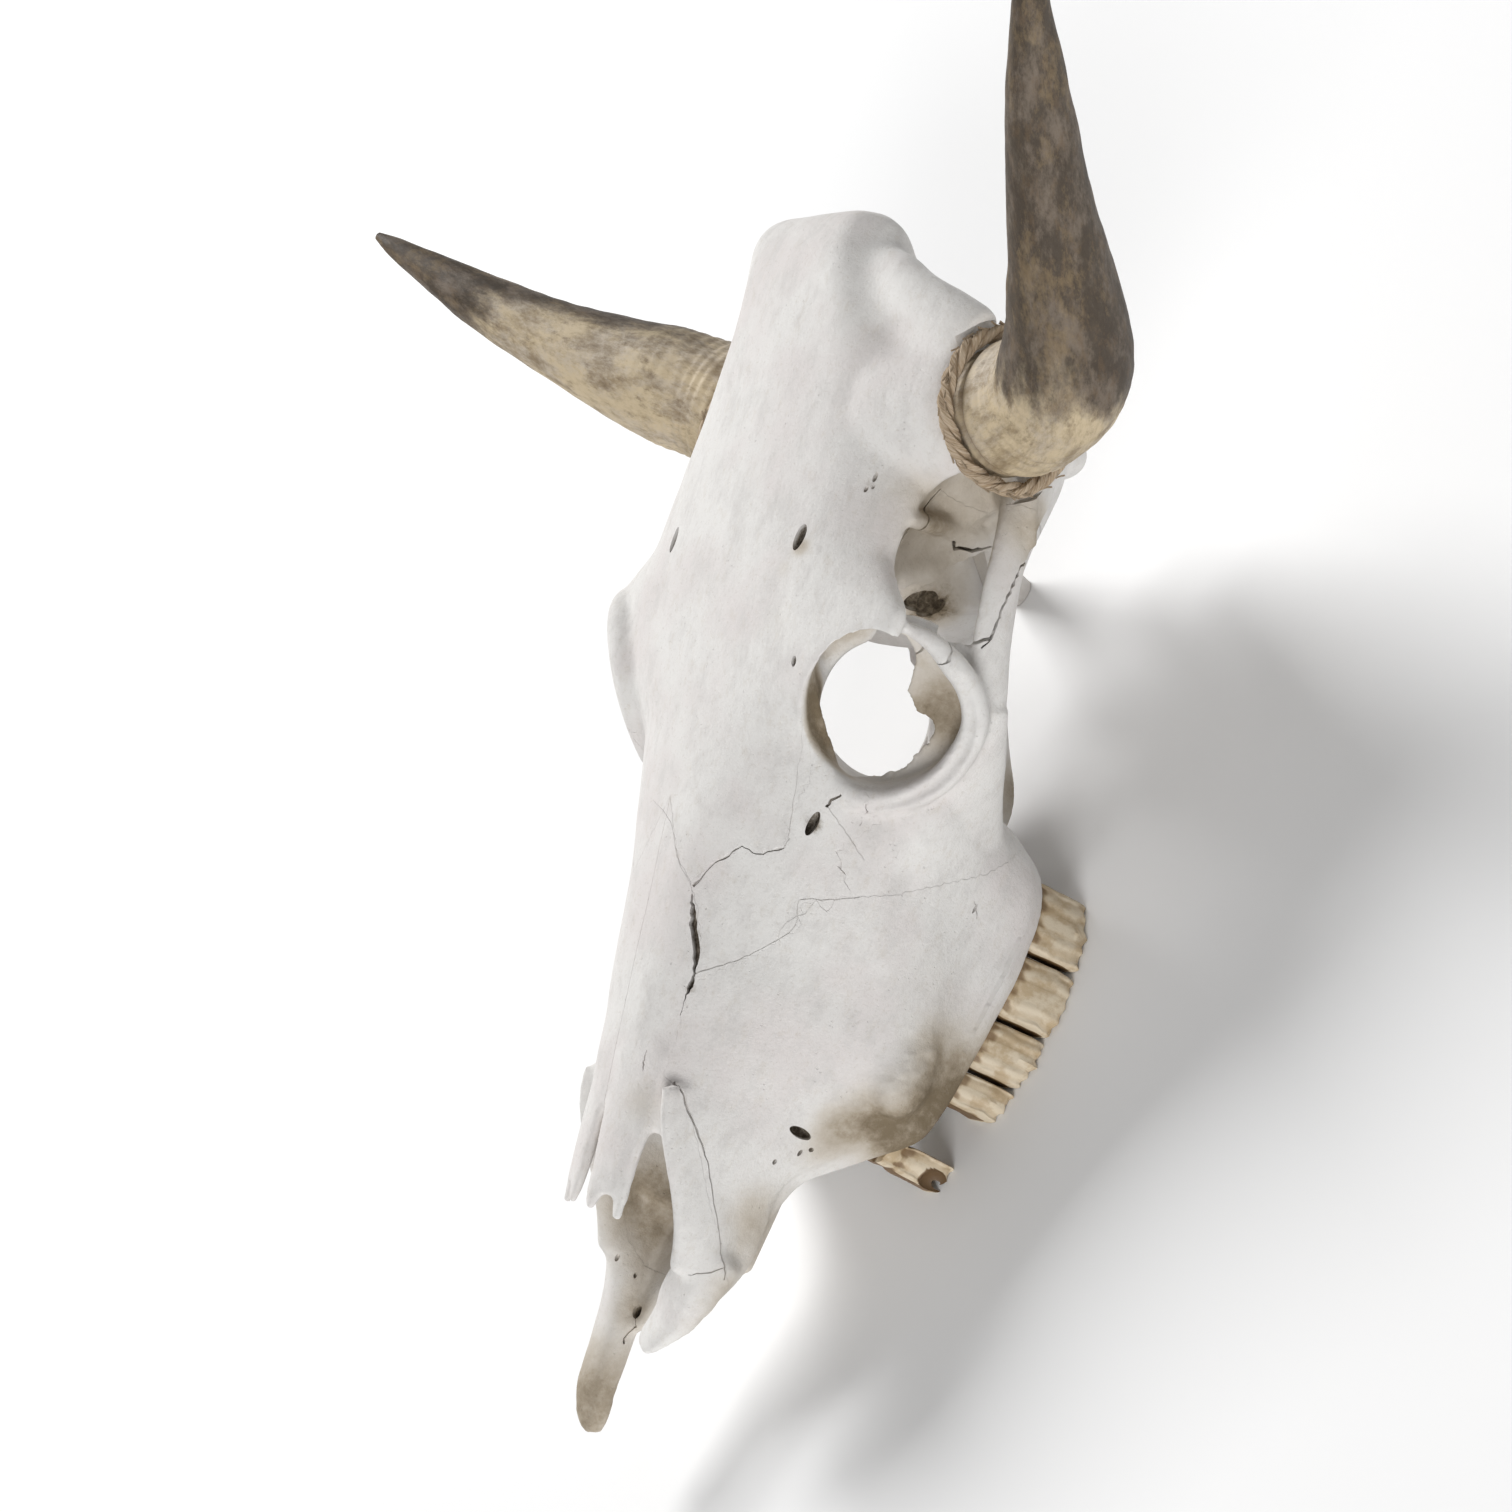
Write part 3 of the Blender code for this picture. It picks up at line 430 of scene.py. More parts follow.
def prism(outline: Keys, axis: str, low: float, high: float, wider: float = 0.0, mirror: int = 1) -> Object:
    """A circle primitive moved to an outline and extruded.

    Args:
        outline: (x, y) points for axis 'Z', or (y, z) points for axis 'X'.
        axis: The direction of extrusion.
        low: Where the extrusion starts.
        high: Where it ends.
        wider: How far every wall stands outside the outline.
        mirror: -1 for the right side of the skull.

    Returns:
        A closed mesh.
    """
    points = np.array(outline, float)[:, :2]
    if wider:
        before = points - np.roll(points, 1, axis=0)
        after = np.roll(points, -1, axis=0) - points
        area = np.sum(points[:, 0] * np.roll(points[:, 1], -1) - np.roll(points[:, 0], -1) * points[:, 1])
        na = np.column_stack((before[:, 1], -before[:, 0])) / np.linalg.norm(before, axis=1)[:, None]
        nb = np.column_stack((after[:, 1], -after[:, 0])) / np.linalg.norm(after, axis=1)[:, None]
        n = na + nb
        n = n / np.maximum(np.linalg.norm(n, axis=1), 1e-6)[:, None]
        n = n / np.maximum(np.sum(n * na, axis=1), 0.5)[:, None]
        points = points + n * wider * (1 if area > 0 else -1)
    bpy.ops.mesh.primitive_circle_add(vertices=len(points), radius=1, fill_type='NGON')
    obj = bpy.context.object
    start, end = low - wider, high + wider
    if axis == 'Z':
        base = np.column_stack((mirror * points[:, 0], points[:, 1], np.full(len(points), start)))
        move = (0, 0, (end - start) * MM)
    else:
        base = np.column_stack((np.full(len(points), mirror * start), points[:, 0], points[:, 1]))
        move = (mirror * (end - start) * MM, 0, 0)
    set_points(obj, base)
    with editing(obj):
        bpy.ops.mesh.extrude_region_move(TRANSFORM_OT_translate={"value": move})
        bpy.ops.mesh.select_all(action='SELECT')
        bpy.ops.mesh.normals_make_consistent(inside=False)
        bpy.ops.mesh.quads_convert_to_tris()
    return obj


def jagged(outline: Keys, pitch: float, depth: float, seed: int) -> np.ndarray:
    """Breaks a closed outline into short uneven steps, as a bone suture has.

    Args:
        outline: Corner points; edges on the midline and long outer edges stay straight.
        pitch: Length of a step.
        depth: How far a step leaves the line.
        seed: Which wandering it is.

    Returns:
        The new points, with as many columns as the outline had.
    """
    rng = np.random.default_rng(seed)
    points = np.array(outline, float)
    out = []
    for a, b in zip(points, np.roll(points, -1, axis=0)):
        edge = (b - a)[:2]
        length = float(np.linalg.norm(edge))
        straight = length > 45 or (abs(a[0]) < 1 and abs(b[0]) < 1)
        steps = 1 if straight else max(1, round(length / pitch))
        normal = np.array((edge[1], -edge[0])) / max(length, 1e-6)
        for k in range(steps):
            point = a + (b - a) * (k / steps)
            if k:
                point = point.copy()
                point[:2] += normal * depth * rng.uniform(0.25, 1.0) * (1 if k % 2 else -1)
                point[:2] += edge / length * pitch * rng.uniform(-0.18, 0.18)
            out.append(point)
    return np.array(out)


def settle(obj: Object, node: str, slot: str, *nodes: str) -> Object:
    """Moves a finished piece into the row frame, hangs it under the root and hides the solids that it stands for.

    Args:
        obj: The piece, still in the skull's own frame.
        node: The piece's name.
        slot: Not used.
        *nodes: The solids that it replaces.

    Returns:
        The same object.
    """
    obj.name = node
    obj.data.name = node
    obj.data.transform(Matrix.Translation(Vector(ROW_SHIFT) * MM))
    only(obj)
    bpy.ops.object.shade_smooth_by_angle(angle=math.radians(SHARP))
    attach(obj, "root")
    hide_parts(*nodes)
    log.info("%s: %d triangles", node, sum(len(p.vertices) - 2 for p in obj.data.polygons))
    return obj


# ---- paint
def rgb(*screen: int) -> tuple[float, ...]:
    """A colour picked as 0 to 255 screen values, as the linear values that a shader takes."""
    shares = [value / 255 for value in screen]
    return (*(c / 12.92 if c <= 0.04045 else ((c + 0.055) / 1.055) ** 2.4 for c in shares), 1.0)


def arithmetic(operation: str, swapped: bool = False) -> Callable:
    """An operator of Value that adds a Math node.

    Args:
        operation: What the node does.
        swapped: True if the other number stands on the left.

    Returns:
        The method.
    """
    def method(self: "Value", other: object) -> "Value":
        """One Math node on this value and a number or value."""
        first, second = (other, self) if swapped else (self, other)
        node = self.paint.node("ShaderNodeMath", {"operation": operation}, {0: first, 1: second})
        return Value(self.paint, node.outputs[0])
    return method


class Value:
    """A number that varies over a surface; arithmetic on it adds Math nodes."""

    def __init__(self, paint: "Paint", socket: Socket) -> None:
        """Wraps one output socket."""
        self.paint = paint
        self.socket = socket

    __add__, __radd__ = arithmetic('ADD'), arithmetic('ADD', True)
    __sub__, __rsub__ = arithmetic('SUBTRACT'), arithmetic('SUBTRACT', True)
    __mul__, __rmul__ = arithmetic('MULTIPLY'), arithmetic('MULTIPLY', True)

    def between(self, low: float, high: float) -> "Value":
        """0 at low and 1 at high, held in between; low may be the larger."""
        node = self.paint.node("ShaderNodeMapRange", {"interpolation_type": 'SMOOTHSTEP', "clamp": True},
                               {"Value": self, "From Min": low, "From Max": high})
        return Value(self.paint, node.outputs[0])


class Paint:
    """One material's node tree, built by calls."""

    def __init__(self, name: str, colour: tuple, roughness: float, specular: float) -> None:
        """Starts a material with what is the same all over.

        Args:
            name: The material's name.
            colour: What lies under all its coats.
            roughness: Its roughness, where finish is given no other.
            specular: Its specular level.
        """
        self.colour = colour
        self.material = bpy.data.materials.new(name)
        self.material.use_nodes = True
        self.tree = self.material.node_tree
        self.shader = self.tree.nodes["Principled BSDF"]
        self.shader.inputs["Base Color"].default_value = colour
        self.shader.inputs["Roughness"].default_value = roughness
        self.shader.inputs["Specular IOR Level"].default_value = specular

    def node(self, kind: str, settings: Optional[dict] = None, sockets: Optional[dict] = None) -> bpy.types.Node:
        """Adds a node.

        Args:
            kind: The node's type.
            settings: Its settings, set first.
            sockets: Its inputs by name, index or identifier, as numbers, colours, links or values.

        Returns:
            The node.
        """
        node = self.tree.nodes.new(kind)
        for key, value in (settings or {}).items():
            setattr(node, key, value)
        for key, value in (sockets or {}).items():
            socket = self._input(node, key)
            if isinstance(value, Value):
                value = value.socket
            if isinstance(value, Socket):
                self.tree.links.new(value, socket)
            else:
                socket.default_value = value
        return node

    @staticmethod
    def _input(node: bpy.types.Node, key: object) -> Socket:
        """Finds an input by index, identifier or name."""
        if isinstance(key, int):
            return node.inputs[key]
        return next((socket for socket in node.inputs if socket.identifier == key), None) or node.inputs[key]

    def place(self, scale: Point = (1, 1, 1)) -> Socket:
        """Object coordinates in metres, stretched by a scale along each axis."""
        coordinates = self.node("ShaderNodeTexCoord").outputs["Object"]
        return self.node("ShaderNodeMapping", None, {"Vector": coordinates, "Scale": scale}).outputs[0]

    def stored(self, name: str) -> Value:
        """A number stored on the mesh."""
        return Value(self, self.node("ShaderNodeAttribute", {"attribute_name": name}).outputs["Fac"])

    def stored_vector(self, name: str) -> Socket:
        """A vector stored on the mesh."""
        return self.node("ShaderNodeAttribute", {"attribute_name": name}).outputs["Vector"]

    def noise(self, where: Socket, scale: float, detail: float = 3.0, rough: float = 0.55) -> Value:
        """Noise of about 0.3 to 0.7."""
        sockets = {"Vector": where, "Scale": scale, "Detail": detail, "Roughness": rough}
        return Value(self, self.node("ShaderNodeTexNoise", None, sockets).outputs["Fac"])

    def cells(self, where: Socket, scale: float) -> Value:
        """Distance to the nearest of scattered points, in cells."""
        node = self.node("ShaderNodeTexVoronoi", None, {"Vector": where, "Scale": scale})
        return Value(self, node.outputs["Distance"])

    def blend(self, mask: Value, under: object, over: object) -> Socket:
        """Colour under where the mask is 0, over where it is 1."""
        node = self.node("ShaderNodeMix", {"data_type": 'RGBA'},
                         {"Factor_Float": mask, "A_Color": under, "B_Color": over})
        return next(socket for socket in node.outputs if socket.identifier == "Result_Color")

    def coat(self, mask: Value, over: object) -> None:
        """Lays a colour on what is there already, as thickly as the mask says."""
        self.colour = self.blend(mask, self.colour, over)

    def finish(self, height: Value, depth: float, roughness: Optional[Value] = None) -> bpy.types.Material:
        """Joins the coats and a relief to the shader.

        Args:
            height: Relief from 0 to 1.
            depth: What a height of 1 stands for, in millimetres.
            roughness: Roughness where it varies.

        Returns:
            The finished material.
        """
        bump = self.node("ShaderNodeBump", None, {"Height": height, "Distance": depth * MM, "Strength": 1.0})
        self.tree.links.new(self.colour, self.shader.inputs["Base Color"])
        self.tree.links.new(bump.outputs[0], self.shader.inputs["Normal"])
        if roughness is not None:
            self.tree.links.new(roughness.socket, self.shader.inputs["Roughness"])
        return self.material


@dataclass(frozen=True)
class BoneFinish:
    """Dry chalky bone, olive-brown in its hollows from dirt and painted shade, and dirty along the jaw."""

    white: tuple = rgb(227, 225, 222)
    pink: tuple = rgb(217, 209, 207)
    grey: tuple = rgb(209, 206, 203)
    sand: tuple = rgb(202, 194, 182)
    tan: tuple = rgb(166, 153, 134)
    olive: tuple = rgb(116, 102, 80)
    black: tuple = rgb(62, 53, 42)

    def material(self) -> bpy.types.Material:
        """Makes the material; it reads the stored hollow, stains, dirt and painted shade of each bone."""
        paint = Paint("bone", self.white, 0.85, 0.25)
        where, long = paint.place(), paint.place((1.0, 0.45, 1.0))
        paint.coat(paint.noise(where, 22, 3, 0.55).between(0.42, 0.68) * 0.55, self.pink)
        paint.coat(paint.noise(long, 95, 6, 0.75).between(0.44, 0.7) * 0.7, self.grey)
        paint.coat(paint.noise(long, 260, 5, 0.7).between(0.52, 0.72) * 0.3, self.sand)
        paint.coat(paint.noise(where, 700, 3, 0.7).between(0.56, 0.72) * 0.2, self.tan)
        hollow, grime_and_shade, breakup = paint.stored("hollow"), paint.stored("grime_and_shade"), paint.noise(where, 65, 6, 0.7)
        ragged, fine = breakup - 0.5, paint.noise(where, 380, 4, 0.7) - 0.5
        # painted shade and dirt: the more enclosed a place is, the more it goes sand, tan and olive
        paint.coat((hollow + ragged * 0.3).between(0.28, 0.62) * 0.9, self.sand)
        paint.coat((hollow + ragged * 0.4).between(0.46, 0.86) * 0.85, self.tan)
        paint.coat((hollow + ragged * 0.5 + fine * 0.3).between(0.72, 1.1) * 0.75, self.olive)
        # stains, with painted shade inside the eye sockets, the temples and round the holes
        stain_and_shade = paint.stored("stain_and_shade") * (0.35 + breakup * 1.3)
        paint.coat(stain_and_shade.between(0.02, 0.5) * 0.8, self.sand)
        paint.coat((stain_and_shade + fine * 0.25).between(0.3, 0.95) * 0.9, self.tan)
        paint.coat((stain_and_shade + fine * 0.4).between(0.72, 1.3) * 0.9, self.olive)
        # dirt, with painted shade on the walls of the cracks and holes, darkest deep in them
        paint.coat((grime_and_shade + ragged * 0.8 + fine * 0.9).between(0.45, 1.15) * 0.8, self.olive)
        paint.coat((grime_and_shade + fine * 1.6 + ragged * 0.8).between(0.8, 1.35) * 0.85, self.black)
        grain = paint.noise(long, 850, 4, 0.7) * 0.5 + paint.noise(where, 190, 6, 0.7) * 1.5
        pores = paint.cells(where, 330).between(0.16, 0.05) * paint.noise(where, 60, 2).between(0.5, 0.62)
        return paint.finish(grain - pores * 0.7, 0.36)


@dataclass(frozen=True)
class ToothFinish:
    """Worn cheek teeth: cream crests, brown grooves and dark dentine pits."""

    cream: tuple = rgb(217, 203, 179)
    tan: tuple = rgb(186, 163, 128)
    brown: tuple = rgb(118, 92, 62)
    dark: tuple = rgb(58, 44, 30)

    def material(self) -> bpy.types.Material:
        """Makes the material; it reads the stored groove of each tooth."""
        paint = Paint("tooth", self.cream, 0.55, 0.45)
        where, upright = paint.place(), paint.place((1.0, 1.0, 0.25))
        patches = paint.noise(where, 110, 4, 0.6)
        paint.coat(patches.between(0.42, 0.62) * 0.8, self.tan)
        groove = paint.stored("groove") + (patches - 0.5) * 0.5
        paint.coat(groove.between(0.35, 0.85) * 0.7, self.tan)
        paint.coat(groove.between(0.6, 1.05) * 0.9, self.brown)
        paint.coat(paint.stored("pit").between(0.15, 0.55), self.brown)
        paint.coat(paint.stored("pit").between(0.45, 1.15), self.dark)
        return paint.finish(paint.noise(upright, 900, 4, 0.7) * 0.7 + paint.noise(where, 300, 3) * 0.6, 0.18)


@dataclass(frozen=True)
class HornFinish:
    """Weathered horn: cream and olive at the foot, dark grey-brown towards the tip."""

    cream: tuple = rgb(200, 183, 153)
    pale: tuple = rgb(192, 180, 163)
    olive: tuple = rgb(138, 119, 90)
    brown: tuple = rgb(102, 83, 62)
    dark: tuple = rgb(66, 57, 48)
    ash: tuple = rgb(122, 110, 98)

    def material(self) -> bpy.types.Material:
        """Makes the material; it reads the stored grain place, darkness, and dirt and painted shade of the sheath."""
        paint = Paint("horn", self.cream, 0.6, 0.3)
        unrolled, stored = paint.stored_vector("grain"), paint.stored("dark")
        clouds = paint.noise(unrolled, 55, 6, 0.72)
        fine = paint.noise(unrolled, 330, 5, 0.75)
        paint.coat(clouds.between(0.42, 0.62), self.pale)
        mottle = paint.noise(unrolled, 105, 6, 0.75) + (fine - 0.5) * 0.25
        paint.coat(mottle.between(0.4, 0.7) * 0.85, self.olive)
        paint.coat((paint.noise(unrolled, 150, 5, 0.75) + stored * 0.16).between(0.52, 0.78) * 0.8, self.brown)
        shade = paint.blend(paint.noise(unrolled, 85, 6, 0.75).between(0.44, 0.66) * 0.8, self.dark, self.ash)
        shade = paint.blend(paint.noise(unrolled, 240, 5, 0.7).between(0.5, 0.66) * 0.45, shade, self.brown)
        streak = (paint.noise(unrolled, 38, 7, 0.8) + (fine - 0.5) * 0.3).between(0.5, 0.66)
        shade = paint.blend(streak * 0.55, shade, self.olive)
        paint.coat((stored + (clouds - 0.5) + (mottle - 0.5) * 0.6).between(0.16, 0.8) * 0.95, shade)
        # dirt and painted shade in the groove and on the bare band by the rope
        paint.coat(paint.stored("grime_and_shade").between(0.15, 0.95) * 0.8, self.brown)
        paint.coat(fine.between(0.6, 0.74) * 0.35, self.dark)
        return paint.finish(fine + paint.noise(unrolled, 700, 4, 0.7) * 0.6, 0.28, 0.48 + fine * 0.25)


@dataclass(frozen=True)
class RopeFinish:
    """Twisted plant-fibre cord, tan with painted shade in the furrows between its strands."""

    light: tuple = rgb(196, 179, 157)
    tan: tuple = rgb(163, 142, 117)
    brown: tuple = rgb(104, 84, 63)

    def material(self) -> bpy.types.Material:
        """Makes the material; it reads the stored place along and round each strand, and its painted shade."""
        paint = Paint("rope", self.tan, 0.9, 0.15)
        lay = paint.stored_vector("grain")
        hairs = paint.noise(lay, 900, 4, 0.7)
        paint.coat(hairs.between(0.38, 0.62), self.light)
        paint.coat(paint.noise(lay, 500, 3, 0.8).between(0.55, 0.7) * 0.8, self.brown)
        # painted shade in the furrows where the strands meet
        paint.coat(paint.stored("groove").between(0.35, 1.0) * 0.85, self.brown)
        return paint.finish(hairs, 0.45)


# ---- the skull's forms
def mirrored_ring(y: float, half: Keys, per: int = 3) -> list[tuple[float, float, float]]:
    """Closed ring across the skull from a half outline running bottom to top of the midline.

    Args:
        y: Where the ring stands.
        half: Pairs of X and Z.
        per: Points for each stretch of the outline.

    Returns:
        X, Y and Z of each point.
    """
    fine = through(half, per)
    right = [(x, y, z) for x, z in fine]
    left = [(-x, y, z) for x, z in fine[1:-1][::-1]]
    return right + left


@dataclass(frozen=True)
class Face:
    """The block of the upper jaws and nose, as heights and half breadths against Y."""

    gum_z: float = 21.0
    palate_z: Keys = ((96, 51), (120, 48), (140, 35), (160, 24), (182, 21), (255, 21), (276, 24), (288, 36))
    gum_half: Keys = ((96, 28), (120, 34), (140, 49), (159, 67.5), (182, 70), (213, 74), (232, 75.5), (250, 75),
                      (266, 72), (278, 66), (288, 57))
    cheek_half: Keys = (
        (96, 37), (120, 42), (140, 53), (160, 67), (184, 79), (208, 77), (235, 78), (262, 86), (288, 92),
    )
    cheek_z: Keys = (
        (96, 64), (120, 62), (140, 52), (160, 46), (184, 48), (208, 62), (235, 82), (262, 100), (288, 100),
    )
    flank_half: Keys = (
        (96, 37), (120, 41), (140, 46), (160, 54), (184, 63), (208, 66), (235, 69), (262, 72), (288, 70),
    )
    flank_z: Keys = (
        (96, 84), (120, 88), (140, 84), (160, 84), (184, 84), (208, 96), (235, 110), (262, 120), (288, 122),
    )
    shoulder_half: Keys = ((96, 22), (120, 23), (160, 24), (208, 27), (235, 34), (262, 42), (288, 50))
    shoulder_z: Keys = ((96, 108), (120, 115), (160, 128), (208, 142), (235, 150), (262, 157), (288, 166))
    roof_z: Keys = ((96, 119), (120, 127), (160, 139), (208, 152), (235, 160), (262, 168), (288, 175))
    right_more: Keys = ((112, 0), (130, 3.5), (208, 3.5), (250, 1.0), (280, 0))
    nose: Keys = (
        (0, 30, 86, 36, 28), (0, 96, 86, 32, 30), (0, 130, 88, 30, 30), (0, 170, 88, 24, 26), (0, 196, 88, 10, 12),
    )
    vault: Keys = (
        (0, 84, 14, 22, 24), (0, 140, 10, 34, 24), (0, 200, 8, 46, 26), (0, 262, 8, 46, 26), (0, 300, 8, 46, 20),
    )
    front: Keys = ((50, 160), (118, 160), (116, 120), (96, 66), (88, 42), (50, 42))

    def block(self) -> Object:
        """The solid block.

        Returns:
            A closed mesh.
        """
        rings = []
        for y in np.linspace(self.palate_z[0][0], self.palate_z[-1][0], 50):
            gum, low = along(self.gum_half, y), along(self.palate_z, y)
            cheek, cheek_z = along(self.cheek_half, y), along(self.cheek_z, y)
            flank, flank_z = along(self.flank_half, y), along(self.flank_z, y)
            shoulder, shoulder_z = along(self.shoulder_half, y), along(self.shoulder_z, y)
            roof = along(self.roof_z, y)
            half = [(0, low), (gum * 0.55, low), (gum, low),
                    (gum + (cheek - gum) * 0.35, low + (cheek_z - low) * 0.5), (cheek, cheek_z), (flank, flank_z),
                    ((flank + shoulder) / 2 + 3, (flank_z + shoulder_z) / 2 + 3), (shoulder, shoulder_z),
                    (shoulder * 0.5, roof - (roof - shoulder_z) * 0.2), (0, roof)]
            ring = np.array(mirrored_ring(y, half))
            up = np.clip((ring[:, 2] - flank_z) / (shoulder_z - flank_z), 0, 1)
            share = np.clip(-ring[:, 0] / shoulder, 0, 1) * up
            more = along(self.right_more, y)
            rings.append(ring + np.column_stack((-more * share, 0 * share, 0.4 * more * share)))
        return wrap(rings)

    def hollows(self) -> list[Object]:
        """The nose passage, the vault of the palate and the room under the muzzle."""
        return [tube(self.nose, power=2.4), tube(self.vault, power=3.0), prism(self.front, 'X', -60, 60)]


@dataclass(frozen=True)
class Forehead:
    """The broad plate from the nose root to the crown."""

    half: Keys = ((232, 32), (262, 48), (286, 74), (304, 94), (320, 96), (334, 84), (348, 74), (400, 71),
                  (426, 64), (446, 56), (460, 50), (470, 45), (480, 40), (486, 30))
    edge_z: Keys = ((232, 143), (262, 149), (286, 159), (322, 163), (356, 164), (400, 165), (430, 172),
                    (455, 181), (472, 194), (486, 202))
    mid_z: Keys = ((232, 159), (262, 168), (304, 181), (341, 191), (400, 204), (436, 215), (456, 219),
                   (470, 218), (480, 215), (486, 208))
    under_z: Keys = (
        (232, 132), (262, 134), (304, 142), (341, 136), (356, 128), (400, 112), (440, 118), (464, 150), (486, 188),
    )
    shoulder: Keys = ((232, 0.34), (300, 0.36), (400, 0.28), (440, 0.14), (460, 0.12), (486, 0.16))
    lean: Keys = ((430, 0.0), (472, -7.0))
    # The right edge stands out and up further than the left.
    right_more: Keys = ((296, 0), (334, 8), (372, 11), (405, 8), (436, -4), (452, -2), (470, 10), (486, 13))
    right_lift: Keys = ((296, 0), (334, 5), (372, 7), (410, 5), (450, 0), (470, 5), (486, 5))

    def plate(self) -> Object:
        """The solid plate.

        Returns:
            A closed mesh.
        """
        rings = []
        for y in np.linspace(self.half[0][0], self.half[-1][0], 64):
            half, edge = along(self.half, y), along(self.edge_z, y)
            mid, under = along(self.mid_z, y), along(self.under_z, y)
            drop, lean = along(self.shoulder, y), along(self.lean, y)
            outline = [(0, under), (half * 0.5, under), (half * 0.8, under + (edge - under) * 0.45),
                       (half * 0.97, edge - 7), (half, edge - 2), (half * 0.94, edge + (mid - edge) * 0.18),
                       (half * 0.66, mid - (mid - edge) * drop), (half * 0.33, mid - (mid - edge) * drop * 0.26),
                       (0, mid)]
            ring = np.array(mirrored_ring(y, outline))
            share = np.clip(-ring[:, 0] / half, 0, 1) ** 2
            more = lean - along(self.right_more, y) * share
            rings.append(ring + np.column_stack((more, 0 * share, along(self.right_lift, y) * share)))
        return wrap(rings)


@dataclass(frozen=True)
class BrainCase:
    """The brain case, the nape wall behind it and what grows from them."""

    half: Keys = ((346, 30), (354, 44), (370, 55), (400, 60), (430, 62), (450, 54), (462, 42))
    low_z: Keys = ((346, 92), (354, 76), (370, 66), (400, 66), (430, 66), (450, 74), (462, 92))
    high_z: Keys = ((346, 150), (354, 164), (400, 172), (430, 176), (462, 178))
    nape_half: Keys = (
        (66, 34), (78, 48), (92, 64), (106, 78), (118, 86), (134, 82), (150, 66), (166, 54), (184, 44), (198, 32),
    )
    nape_back: Keys = ((66, 440), (80, 446), (100, 450), (120, 452), (140, 456), (160, 464), (184, 475), (198, 480))
    nape_front: Keys = ((66, 408), (80, 398), (100, 390), (120, 390), (140, 404), (160, 420), (198, 440))
    left_less: Keys = ((66, 12), (92, 12), (106, 9), (118, 5), (136, 0))     # broken away on the left
    sole: float = 2.5

    def blocks(self) -> list[Object]:
        """The case and the nape wall.

        Returns:
            Closed meshes.
        """
        case, nape = [], []
        for y in np.linspace(self.half[0][0], self.half[-1][0], 28):
            half, low, high = along(self.half, y), along(self.low_z, y), along(self.high_z, y)
            case.append([(u, y, (low + high) / 2 + v) for u, v in oval(48, half, (high - low) / 2, 2.2)])
        for z in np.linspace(self.nape_half[0][0], self.nape_half[-1][0], 28):
            half, front, back = along(self.nape_half, z), along(self.nape_front, z), along(self.nape_back, z)
            less = along(self.left_less, z)
            nape.append([(u - less * max(u / half, 0), (front + back) / 2 + v, z)
                         for u, v in oval(56, half, (back - front) / 2, 3.0)])
        return [wrap(case), wrap(nape)]

    def side_blocks(self, side: Side) -> list[Object]:
        """Crest, condyle, ear opening and, on the unbroken right side, the hind foot and ear capsule.

        Args:
            side: Left or right.

        Returns:
            Closed meshes.
        """
        m = side.value
        if side is Side.LEFT:
            ridge = [(24, 462, 198, 10, 9), (42, 457, 196, 12, 10), (55, 448, 192, 13, 12), (71, 441, 184, 14, 13),
                     (84, 436, 174, 14, 14)]
        else:
            ridge = [(34, 456, 199, 13, 11), (50, 444, 189, 12, 11), (62, 438, 177, 10, 10)]
        parts = [
            tube([(72, 420, 120, 14, 12), (82, 406, 127, 9, 9), (89, 397, 129, 6, 6)], mirror=m),
            tube(ridge, (0, 1, 0), m),
            ball((23, 450, 79), (16, 12, 17), (24, 0, -22), m),
            tube([(52, 396, 108, 12, 12), (66, 398, 112, 9, 9), (74, 400, 114, 7, 7)], (0, 1, 0), m),
        ]
        if side is Side.RIGHT:
            foot = [(54, 432, 104, 20, 16), (56, 436, 84, 15, 14), (58, 434, 60, 9, 12), (60, 430, 30, 6.4, 9.5),
                    (60, 427, 8, 5.6, 7.6), (60, 426.5, -self.sole, 5.4, 7.2)]
            parts.append(tube(foot, mirror=m))
            parts.append(ball((38, 386, 62), (11, 15, 20), (0, 0, 0), m))
        return parts

    def spinal_opening(self) -> Object:
        """The round opening for the spinal cord."""
        return tube([(0, 480, 84, 19, 19), (0, 450, 82, 18, 18), (0, 420, 82, 14, 14)])


